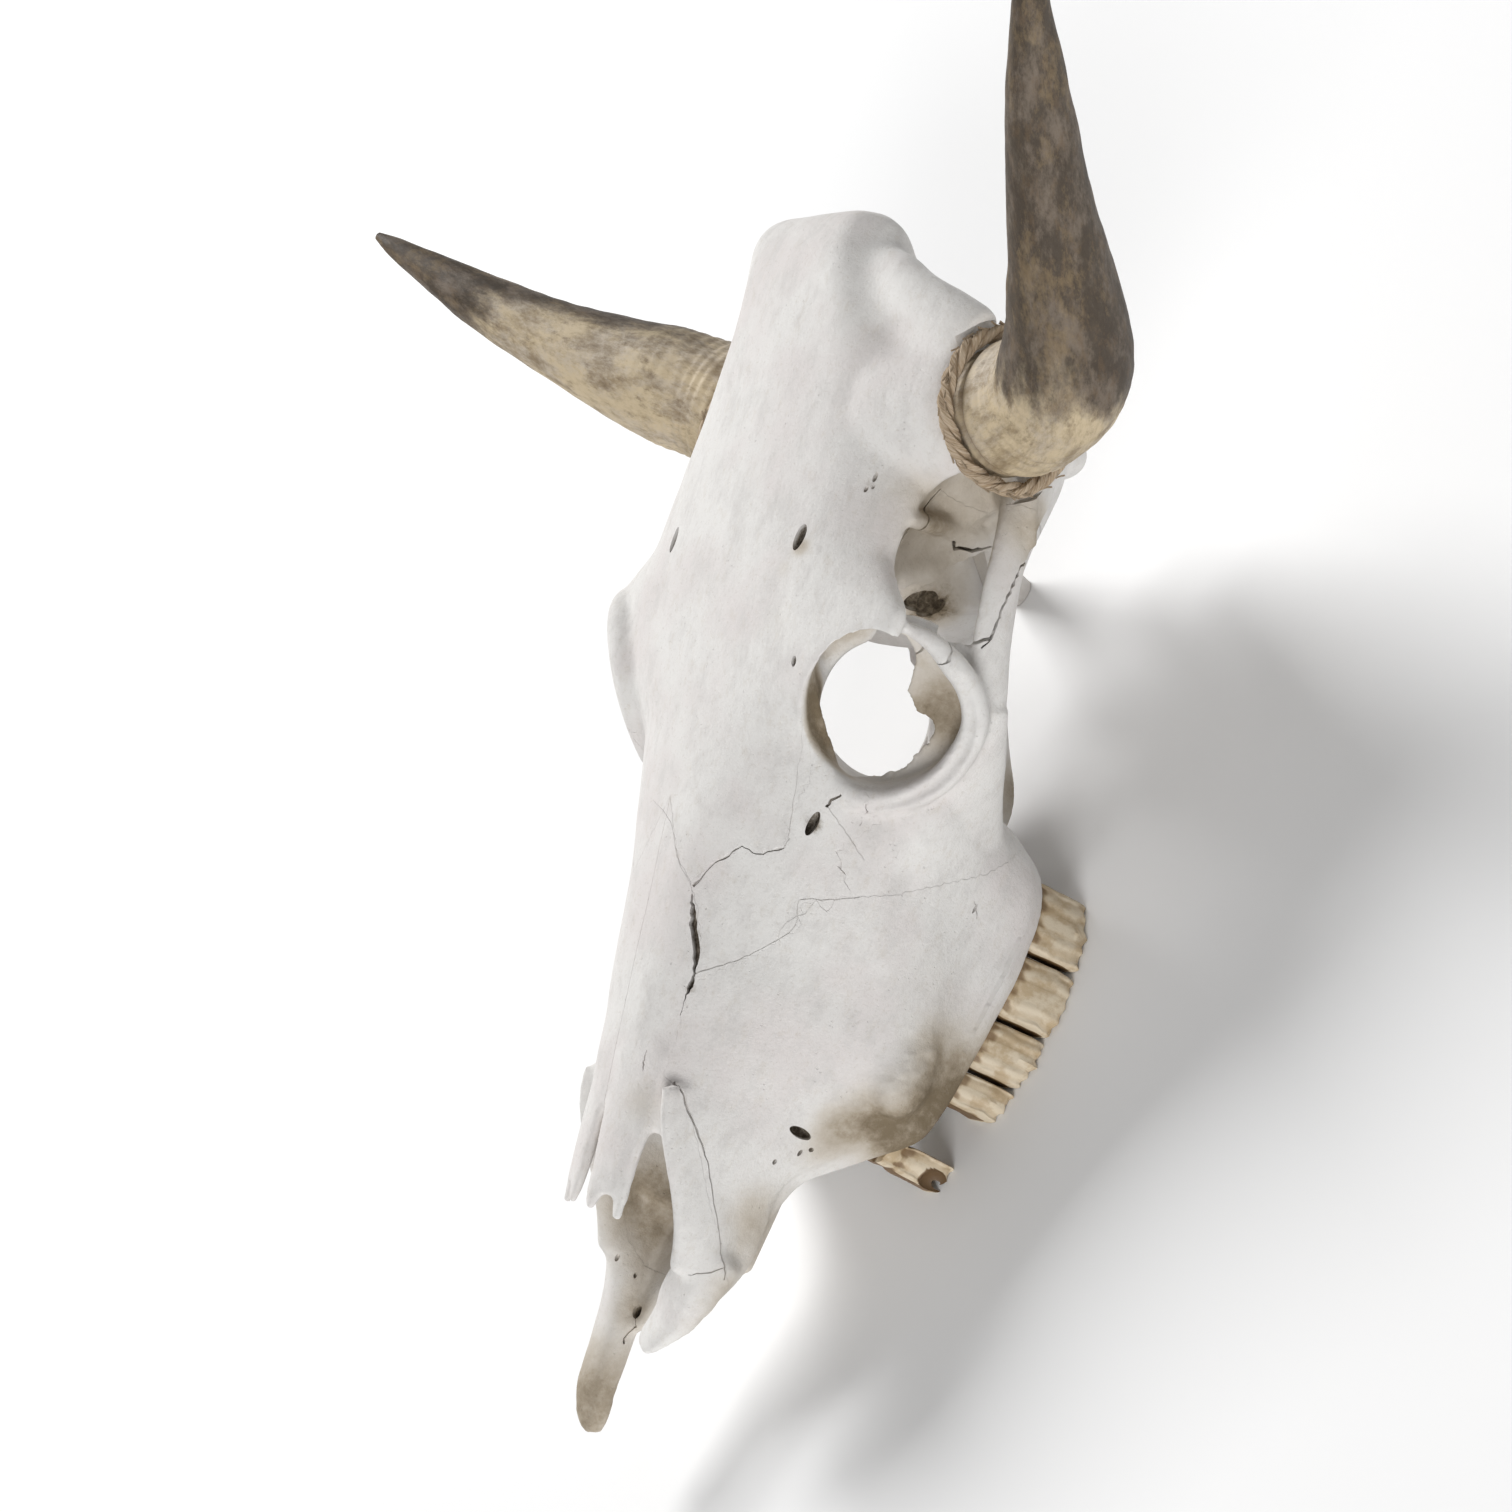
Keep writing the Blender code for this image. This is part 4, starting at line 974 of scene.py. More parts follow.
@dataclass(frozen=True)
class EyeSocket:
    """The round socket with its bony ring, seen right through from the front."""

    centre: Point = (83.0, 288.0, 137.0)
    right_shift: Point = (2.0, 6.0, 1.0)
    normal: Point = (0.738, -0.526, 0.422)
    # Against the angle on the socket's own plane, 0 towards the crown and 90 towards the forehead:
    # the inner edge of the rim, the rim's half thickness, how deep its middle sits, the furrow
    # between its two ridges, and the edge of the thin torn wall further in.
    inner: Keys = ((-180, 30.3), (-160, 28.6), (-130, 26.3), (-96, 25.9), (-59, 28.2), (-24, 28), (0, 30.9),
                   (19, 33.6), (37, 37.7), (59, 37), (83, 34.7), (104, 33.3), (125, 32.2), (154, 30.6), (180, 30.3))
    thick: Keys = ((-180, 4.6), (-160, 5.5), (-30, 5.5), (0, 4.0), (20, 2.6), (150, 2.6), (180, 4.6))
    sunk: Keys = ((-180, 1.2), (-150, 0), (-30, 0), (0, 2.5), (20, 5.5), (150, 5.5), (180, 1.2))
    groove: Keys = (
        (-172, 34.8), (-164, 34.0), (-146, 31.6), (-124, 30.0), (-101, 29.6), (-77, 30.6), (-47, 31.8), (-20, 32.5),
    )
    torn: Keys = (
        (-180, 30.5), (-176, 29), (-162, 26.6), (-151, 24.6), (-139, 22.8), (-117, 19.6), (-94, 19.2), (-74, 15.6),
        (-66, 10.3), (-40, 9.6), (-13, 10.8), (-2, 17.7), (2, 23.4), (14, 29.5), (27, 33), (41, 35.5), (54, 36.5),
        (68, 36.5), (84, 35), (97, 30.5), (112, 27), (131, 25.5), (149, 26.3), (175, 32), (180, 30.5),
    )
    torn_depth: float = -13.0
    reach: float = 39.0             # outer edge of the torn wall, inside the bone
    right_thick: float = 5.5

    def axes(self) -> tuple[np.ndarray, np.ndarray, np.ndarray]:
        """The socket's own directions: out of it, towards the crown, and the third across them.

        Returns:
            Three directions of length 1.
        """
        out = np.array(self.normal) / np.linalg.norm(self.normal)
        first = np.array((0.0, 1.0, 0.0)) - out * out[1]
        first = first / np.linalg.norm(first)
        return out, first, np.cross(out, first)

    def spot(self, degrees: float, reach: float, depth: float, side: Side) -> np.ndarray:
        """A place from an angle, a distance from the middle and a height on the socket's plane.

        Args:
            degrees: The angle, 0 towards the crown.
            reach: Millimetres from the middle.
            depth: Millimetres outwards.
            side: Left or right.

        Returns:
            X, Y and Z.
        """
        out, a, b = self.axes()
        centre = np.array(self.centre) + (np.array(self.right_shift) if side is Side.RIGHT else 0)
        turn = math.radians(degrees)
        place = centre + a * reach * math.cos(turn) + b * reach * math.sin(turn) + out * depth
        return place * (side.value, 1, 1)

    def ring(self, side: Side) -> Object:
        """The bony ring: stout below and behind, level with the forehead above.

        Args:
            side: Left or right.

        Returns:
            A closed mesh.
        """
        rings = []
        for k in range(96):
            degrees = -180 + 360 * k / 96
            size, sunk = self.right_thick, 0
            if side is Side.LEFT:
                size, sunk = along(self.thick, degrees), along(self.sunk, degrees)
            middle = along(self.inner, degrees) + size * 0.9
            rings.append([self.spot(degrees, middle + u, v - sunk, side) for u, v in oval(20, size, size * 1.15)])
        return wrap(rings, closed_along=True)

    def opening(self, side: Side) -> Object:
        """The hollow of the socket, which opens into the gap behind the face.

        Args:
            side: Left or right.

        Returns:
            A closed mesh to be taken out of the body.
        """
        rings = []
        for depth, more in ((30, 6.0), (8, 0.0), (2, -0.5), (-6, 0.0), (-14, 1.0), (-32, 0.0)):
            ring = []
            for k in range(72):
                degrees = -180 + 360 * k / 72
                edge = along(self.inner, degrees) + more
                if depth < -10:
                    edge = max(29.0 if depth > -20 else 26.0, along(self.torn, degrees) + 1.2)
                ring.append(self.spot(degrees, edge, depth, side) + (0, 0.12 * max(-depth, 0), 0))
            rings.append(ring)
        return wrap(rings)

    def furrow(self, side: Side) -> Object:
        """The shallow furrow between the two ridges of the lower rim.

        Args:
            side: Left or right.

        Returns:
            A closed mesh to be taken out of the body.
        """
        rows = []
        for k in range(15):
            degrees = -172 + 152 * k / 14
            thick = 2.9 * math.sin(math.pi * (k + 0.7) / 15.4) ** 0.5
            rows.append((*self.spot(degrees, along(self.groove, degrees), 6.3, Side.LEFT), thick, thick))
        shift = np.array(self.right_shift) if side is Side.RIGHT else np.zeros(3)
        rows = [(*(np.array(row[:3]) + shift), *row[3:]) for row in rows]
        return tube(rows, side=self.normal, mirror=side.value, steps=3, count=14)

    def shade(self, points: np.ndarray) -> np.ndarray:
        """How much painted shade lies inside either socket at each point, most towards the nose and on the opposite
        side.

        Args:
            points: The places asked for.

        Returns:
            0 outside the sockets, to about 1.3 in them.
        """
        out, first, second = self.axes()
        gap = points - np.array(self.centre)
        gap[:, 0] = np.abs(points[:, 0]) - self.centre[0]
        depth, up, over = gap @ out, gap @ first, gap @ second
        turn = np.degrees(np.arctan2(over, up))
        edge = np.interp(turn, [key[0] for key in self.inner], [key[1] for key in self.inner]) + 0.8
        inside = smooth_step(-1, -8, depth) * smooth_step(-34, -20, depth)
        inside = inside * smooth_step(edge + 1, edge, np.hypot(up, over))
        # painted shade: darkest on the wall towards the nose and on the wall across from it
        near_nose, far = np.exp(-((turn - 122) / 40) ** 2), np.exp(-((turn + 62) / 42) ** 2)
        return inside * (0.25 + 1.1 * near_nose + 0.75 * far)

    def torn_wall(self, side: Side) -> Object:
        """The thin torn wall inside the socket, with the ragged window seen through it.

        Args:
            side: Left or right.

        Returns:
            A closed mesh.
        """
        rings = []
        steps = 220
        rng = np.random.default_rng(31)
        chips = np.convolve(rng.uniform(-1, 1, steps), np.ones(3) / 3, "same")
        for k in range(steps):
            degrees = -180 + 360 * k / steps
            torn = float(smooth_step(-176, -150, degrees) * smooth_step(4, -6, degrees))
            edge = along(self.torn, degrees) + chips[k] * (0.15 + 1.1 * torn)
            rings.append([self.spot(degrees, reach, self.torn_depth + depth, side)
                          for reach, depth in ((edge, 0.9), (edge, -0.9), (self.reach, -1.8), (self.reach, 1.8))])
        return wrap(rings, closed_along=True)


@dataclass(frozen=True)
class Muzzle:
    """The toothless front bones and the forked ends of the nose bones."""

    tilt: Point = (1, 0, -0.42)
    plate: Keys = ((11, 152, 127, 9, 4), (12, 142, 127, 12, 4.6), (12, 128, 123, 12.5, 4.4),
                   (12, 112, 120, 11.5, 4), (12, 96, 117, 9.6, 3.4), (12.5, 85, 115, 8, 2.4))
    inner_prong: Keys = ((7.5, 100, 119, 5, 3), (7, 86, 117, 4, 2.6), (6.5, 77, 115.5, 1.6, 1.4))
    outer_prong: Keys = ((16, 104, 116, 5, 3), (17.5, 90, 113, 4, 2.6), (19, 77, 110, 1.8, 1.5))

    def front_bone(self, side: Side) -> list[Object]:
        """Blade, body, palate bar and bridge of one incisive bone; the left one is broken short.

        Args:
            side: Left or right.

        Returns:
            Closed meshes.
        """
        m = side.value
        blade = [(29, 134, 116, 3.4, 9), (31, 120, 108, 3.4, 11), (35, 100, 84, 4, 14), (37, 86, 72, 5, 13),
                 (37, 70, 66, 6, 9)]
        if side is Side.LEFT:
            blade[2:] = [(34, 100, 87, 4.5, 16), (34, 86, 79, 5, 15), (31, 72, 74, 6, 12)]
            body = [(33, 84, 68, 9, 12), (27, 67, 69, 12, 10.5), (20.5, 54, 67, 10.5, 7), (14.5, 45, 67, 8, 4),
                    (10, 39, 67, 4.5, 2.5)]
            floor = [(0, 118), (28, 118), (28, 84), (20, 78), (8, 68), (0, 62)]
            wall = [(33, 114, 63, 4, 8), (32, 86, 60, 4.5, 8), (26, 66, 62, 5, 6), (15, 52, 64, 5, 5),
                    (8, 44, 65, 3.5, 4)]
        else:
            body = [(36, 78, 62, 6, 12), (35, 58, 54, 8, 10), (35, 36, 50, 9, 8), (37, 18, 46, 9.5, 7),
                    (38, 7, 41, 8, 5.5), (38.5, 1.5, 38, 5, 3.5)]
            floor = [(0, 118), (28, 118), (33, 84), (34, 44), (28, 42), (14, 52), (0, 62)]
            wall = [(33, 114, 63, 4, 8), (34, 86, 57, 4.5, 8), (34, 60, 54, 5, 7), (32, 46, 51, 6, 6)]
        bridge = [(10, 106, 48, 9, 5), (24, 102, 53, 10, 5), (34, 100, 60, 10, 5)]
        return [tube(blade, mirror=m), tube(body, mirror=m, power=2.3),
                prism(floor, 'Z', 46, 51.5, mirror=m), tube(wall, mirror=m),
                tube(bridge, side=(0, 1, 0), mirror=m)]

    def nose_end(self, side: Side) -> list[Object]:
        """The front of one nose bone with its two prongs."""
        return [tube(self.plate, self.tilt, side.value, power=2.3), tube(self.inner_prong, self.tilt, side.value),
                tube(self.outer_prong, self.tilt, side.value)]


@dataclass(frozen=True)
class CheekArch:
    """The cheek arch, the plate under the eye and the small spur behind the horn."""

    arch: Keys = ((94, 290, 100, 5, 9), (100, 310, 111, 5, 10), (100, 332, 120, 4.5, 9), (97, 352, 124, 4.5, 8.5),
                  (92, 372, 125, 5, 8.5), (86, 390, 124, 8, 10), (76, 402, 120, 13, 13))
    plate: Keys = ((68, 258, 66, 7, 26), (80, 276, 84, 6, 20), (95, 295, 99, 5, 12), (103, 310, 108, 4, 6))
    spur: Keys = ((90, 396, 129, 5, 5), (94.5, 386, 125.5, 3.4, 4), (94.5, 376, 119, 2.6, 3.4))
    tuber: Point = (68, 184, 49)
    temple: Keys = ((98, 320, 130, 11, 18), (87, 336, 132, 27, 27), (83, 360, 133, 33, 29), (83, 384, 134, 23, 24),
                    (80, 398, 130, 12, 13))
    under: Keys = ((84, 308, 72, 20, 20), (78, 330, 76, 28, 30), (80, 360, 80, 24, 28), (82, 378, 84, 16, 16))
    ledges: Sequence[Keys] = (
        ((72, 364, 161, 3, 3), (63, 371, 147, 4.5, 4), (56, 379, 132, 5.5, 5), (56, 382, 121, 5, 5),
         (57, 387, 111, 3, 4)),
        ((47, 352, 138, 4, 6), (46, 361, 131, 6, 7), (48, 365, 120, 6, 7), (52, 371, 110, 5, 6)),
        ((44, 358, 106, 4, 5), (46, 366, 97, 5, 6), (56, 376, 92, 6, 7)),
    )

    def bars(self, side: Side) -> list[Object]:
        """Arch, plate and spur."""
        return [tube(rows, mirror=side.value) for rows in (self.arch, self.plate, self.spur)]

    def ledge_bars(self, side: Side) -> list[Object]:
        """The rough ledges inside the temple."""
        return [tube(rows, mirror=side.value) for rows in self.ledges]

    def cheek_knob(self, side: Side) -> Object:
        """The rough swelling over the front cheek teeth."""
        return ball(self.tuber, (12, 27, 15), (0, 0, 8), side.value)

    def hollows(self, side: Side) -> list[Object]:
        """The temple and the gap under the arch."""
        return [tube(rows, mirror=side.value) for rows in (self.temple, self.under)]


@dataclass(frozen=True)
class SkullBase:
    """The bar of palate and base bones under the open gap behind the face."""

    beam: Keys = ((0, 262, 38, 34, 10), (0, 285, 36, 27, 9), (0, 306, 38, 17, 9), (0, 328, 44, 14, 9),
                  (0, 348, 60, 16, 14), (0, 372, 70, 22, 16), (0, 404, 74, 26, 16), (0, 436, 76, 28, 14))
    wing: Keys = (
        (25, 268, 31, 4, 10), (24, 290, 27, 3, 9), (23, 308, 27, 3, 9), (20, 326, 38, 3.5, 9), (19, 346, 56, 6, 12),
    )
    sight: Keys = ((98, 282.5, 155, 23, 28), (60, 296, 128, 23, 28), (0, 317.5, 86, 22, 27), (-70, 342.5, 37, 22, 27))
    sight_side: Point = (0.572, 0.417, -0.706)
    gap_way: Keys = ((-52, 316, 108, 27, 28), (-22, 316, 88, 30, 32), (0, 317, 86, 30, 35), (22, 316, 88, 30, 32),
                     (52, 316, 108, 27, 28))

    def bars(self) -> list[Object]:
        """The beam and its two wings."""
        return [tube(self.beam, power=2.4)] + [tube(self.wing, mirror=s.value) for s in Side]

    def gap(self) -> Object:
        """The open gap behind the face."""
        return tube(self.gap_way, side=(0, 1, 0))

    def sight_way(self, side: Side) -> Object:
        """The straight way through the eye socket and out under the far side."""
        return tube(self.sight, side=self.sight_side, mirror=side.value, count=48)


# ---- horns and rope
@dataclass(frozen=True)
class Horn:
    """One horn: its bony core, its sheath and the room between them."""

    side: Side
    core_radius: float = 24.5
    radii: Keys = ((0, 27), (0.08, 26.4), (0.2, 25.4), (0.35, 25.3), (0.5, 22.2), (0.7, 16.1), (0.85, 11.3), (1.0, 3.2))
    left: Keys = ((88.3, 416.6, 153.5), (158.0, 421.4, 156.2), (156.4, 417.7, 199.0), (240.3, 474.5, 324.7))
    right: Keys = ((-82.9, 423.5, 150.3), (-118.8, 437.1, 171.8), (-154.9, 421.5, 191.8), (-276.5, 462.1, 278.1))
    right_scale: float = 1.07
    seam: float = 0.35
    lip: float = 8.5            # breadth of the bare band inside the rope

    def curve(self) -> list[Vector]:
        """Control points of the middle line."""
        return [Vector(p) for p in (self.left if self.side is Side.LEFT else self.right)]

    def radius(self, s: float) -> float:
        """Radius of the plain sheath at a share of the curve."""
        return along(self.radii, s) * (1.0 if self.side is Side.LEFT else self.right_scale)

    def frame(self, s: float) -> tuple[np.ndarray, np.ndarray, np.ndarray, np.ndarray]:
        """Place, direction ahead and two directions across, at a share of the curve.

        Args:
            s: The share of the curve, from 0 at the foot to 1 at the tip.

        Returns:
            The place and three directions of length 1.
        """
        a, b, c, d = self.curve()
        place = a * (1 - s) ** 3 + b * 3 * s * (1 - s) ** 2 + c * 3 * s * s * (1 - s) + d * s ** 3
        ahead = ((b - a) * (1 - s) ** 2 + (c - b) * 2 * s * (1 - s) + (d - c) * s * s).normalized()
        first = (Vector((0, 1, 0)) - ahead * ahead.y).normalized()
        return np.array(place), np.array(ahead), np.array(first), np.array(ahead.cross(first))

    def disc(self, s: float, radius: float, back: float = 0.0, count: int = 48) -> list[np.ndarray]:
        """A ring of points round the middle line."""
        place, ahead, first, second = self.frame(s)
        return [place + ahead * back + first * u + second * v for u, v in oval(count, radius, radius)]

    def core(self) -> Object:
        """The bone that the sheath stands on."""
        steps = ((-38, 19.5), (-26, 15.5), (-16, 12), (-6, 8), (-1, 4), (2.5, 0))
        return wrap([self.disc(0, self.core_radius + more, back) for back, more in steps])

    def clearance(self) -> Object:
        """Room for the foot of the sheath and the rope."""
        return wrap([self.disc(0, self.radius(0) + 9, d) for d in (-self.seam, 40)])

    def sheath(self) -> Object:
        """The sheath, with its bare band, growth rings, fibres and stored paint places.

        Returns:
            A closed mesh.
        """
        around, rows = (120, 210) if GRAIN is Grain.FULL else (72, 120)
        shares = [k / (rows - 1) for k in range(rows)]
        frames = [self.frame(s) for s in shares]
        places = np.array([f[0] for f in frames])
        length = np.concatenate(([0], np.cumsum(np.linalg.norm(np.diff(places, axis=0), axis=1))))
        angles = 2 * math.pi * np.arange(around) / around
        circle = np.column_stack((np.cos(angles), np.sin(angles)))
        seed = 5 if self.side is Side.LEFT else 9
        rings, grain, share_of, turn_of = [], [], [], []
        for k, (s, (place, ahead, first, second)) in enumerate(zip(shares, frames)):
            bare = self.radius(s) * float(smooth_step(1.02, 0.97, s)) ** 0.5
            flat = np.column_stack((circle * max(bare, 6.0), np.full(around, length[k] * 0.45)))
            radius = bare + self._relief(flat, length[k], seed) * min(1.0, bare / 12)
            rings.append(place + np.outer(circle[:, 0] * radius, first) + np.outer(circle[:, 1] * radius, second))
            grain.append(flat)
            share_of += [s] * around
            turn_of.append(circle)
        obj = wrap(rings)
        order = sources(obj, np.concatenate(rings))
        grain_of = np.concatenate(grain)[order]
        set_attribute(obj, "grain", grain_of * MM)
        dark, grime_and_shade = self._shades(np.array(share_of)[order], np.concatenate(turn_of)[order], grain_of,
                                   np.repeat(length, around)[order])
        set_attribute(obj, "dark", dark)
        set_attribute(obj, "grime_and_shade", grime_and_shade)
        return obj

    def _relief(self, flat: np.ndarray, length: float, seed: int) -> np.ndarray:
        """How far the surface stands off the plain taper, in millimetres, round one ring.

        Args:
            flat: The ring's places on the unrolled horn.
            length: How far from the foot it is.
            seed: Which noise it has.

        Returns:
            One height for each point of the ring.
        """
        lip = smooth_step(self.lip + 1.2, self.lip - 0.6, length)
        groove = math.exp(-((length - self.lip - 0.6) / 1.3) ** 2)
        swell = math.exp(-((length - self.lip - 9) / 8.0) ** 2)
        fibres = noise(flat, 3.2, seed, 2) * 0.2 + noise(flat * (1, 1, 2.2), 14, seed + 1, 2) * 0.55
        rings = (math.sin(length * 1.05 + 1.3 * math.sin(length * 0.23)) * 0.22
                 * float(smooth_step(75, 20, length)))
        lumps = noise(np.column_stack((flat[:, :2], np.full(len(flat), length))), 26, seed + 3, 2) * 0.5
        return -1.3 * float(lip) - 2.1 * groove + 0.9 * swell + fibres + rings + lumps

    def _shades(self, s: np.ndarray, turn: np.ndarray, grain: np.ndarray,
                length: np.ndarray) -> tuple[np.ndarray, np.ndarray]:
        """Darkness of the sheath, and its dirt and painted shade by the rope, at each vertex.

        Args:
            s: Share of the curve at each vertex.
            turn: Cosine and sine of its angle.
            grain: Its place on the unrolled horn.
            length: How far from the foot it is.

        Returns:
            Two numbers from 0 to 1 for each vertex.
        """
        wander = noise(grain, 22, 40 + self.side.value, 3)
        if self.side is Side.LEFT:
            lit = smooth_step(-0.2, -0.95, turn[:, 0]) * smooth_step(0.62, 0.4, s)
            dark = smooth_step(0.2, 0.44, s + wander * 0.08) - 0.35 * lit
        else:
            upper = smooth_step(-0.1, 0.9, turn[:, 0])
            dark = 0.1 + smooth_step(0.7, 0.9, s + wander * 0.05) + 0.75 * upper * smooth_step(0.05, 0.5, s)
        # dirt and painted shade: darkest in the groove by the rope, and on the bare band that the rope covers
        grime_and_shade = np.exp(-((length - self.lip - 0.6) / 1.6) ** 2) + 0.4 * smooth_step(self.lip, self.lip - 2, length)
        return np.clip(dark, 0, 1), np.clip(grime_and_shade, 0, 1)


@dataclass(frozen=True)
class RopeRing:
    """Three-strand cord tied round the foot of a horn."""

    horn: Horn
    radius: float = 3.3
    stand_off: float = 4.0
    strand: float = 1.8
    turns: int = 7
    hairs: int = 46

    def centre(self, angle: float) -> tuple[np.ndarray, np.ndarray, np.ndarray]:
        """Middle of the cord at an angle, and the directions out of the ring and along the horn.

        Args:
            angle: The angle round the horn, in radians.

        Returns:
            The place and two directions of length 1.
        """
        place, ahead, first, second = self.horn.frame(0)
        out = first * math.cos(angle) + second * math.sin(angle)
        reach = self.horn.radius(0) + self.radius + self.horn.seam
        reach += 0.35 * math.sin(3 * angle + 1) + 0.2 * math.sin(7 * angle)
        return place + ahead * (self.stand_off + 0.3 * math.sin(2 * angle)) + out * reach, out, ahead

    def build(self) -> Object:
        """The strands and their stray fibres as one mesh.

        Returns:
            A mesh of closed shells.
        """
        steps, around = (300, 14) if GRAIN is Grain.FULL else (160, 10)
        parts = []
        for number in range(3):
            rings, grain, groove = [], [], []
            for k in range(steps):
                angle = 2 * math.pi * k / steps
                middle, out, ahead = self.centre(angle)
                lay = self.turns * angle + number * 2 * math.pi / 3
                offset = out * math.cos(lay) + ahead * math.sin(lay)
                across = ahead * math.cos(lay) - out * math.sin(lay)
                core = middle + offset * (self.radius - self.strand)
                ring = []
                for j in range(around):
                    turn = 2 * math.pi * j / around
                    lump = self.strand + 0.22 * math.sin(5 * turn + 26 * angle + number)
                    ring.append(core + offset * lump * math.cos(turn) + across * lump * math.sin(turn))
                    twist = turn - 9 * angle
                    grain.append((math.cos(twist) * 2.4, math.sin(twist) * 2.4, angle * 35 * 0.12 + number * 9))
                    # painted shade: 0 on the outer side of the strand, 1 on the inner side where it meets the others
                    groove.append(0.5 - 0.5 * math.cos(turn))
                rings.append(ring)
            part = wrap(rings, closed_along=True)
            order = sources(part, np.concatenate(rings))
            set_attribute(part, "grain", np.array(grain)[order] * MM)
            set_attribute(part, "groove", np.array(groove)[order])
            parts.append(part)
        parts += self._stray_hairs()
        return join(parts)

    def _stray_hairs(self) -> list[Object]:
        """Loose fibres that stand off the cord.

        Returns:
            Closed meshes.
        """
        rng = np.random.default_rng(12 + self.horn.side.value)
        hairs = []
        for _ in range(self.hairs):
            angle = rng.uniform(0, 2 * math.pi)
            rows = []
            lift, lean = rng.uniform(0.4, 2.2), rng.uniform(-0.6, 1.0)
            for k in range(4):
                middle, out, ahead = self.centre(angle + 0.035 * k)
                way = out * math.cos(lean) + ahead * math.sin(lean)
                rows.append((*(middle + way * (self.radius - 0.3 + lift * (k / 3) ** 1.6)), 0.13, 0.13))
            hair = tube(rows, side=(0.3, 0.5, 0.8), steps=2, count=4)
            count = len(hair.data.vertices)
            set_attribute(hair, "grain", rng.uniform(0, 0.02, (count, 3)))
            set_attribute(hair, "groove", np.full(count, 0.1))
            hairs.append(hair)
        return hairs


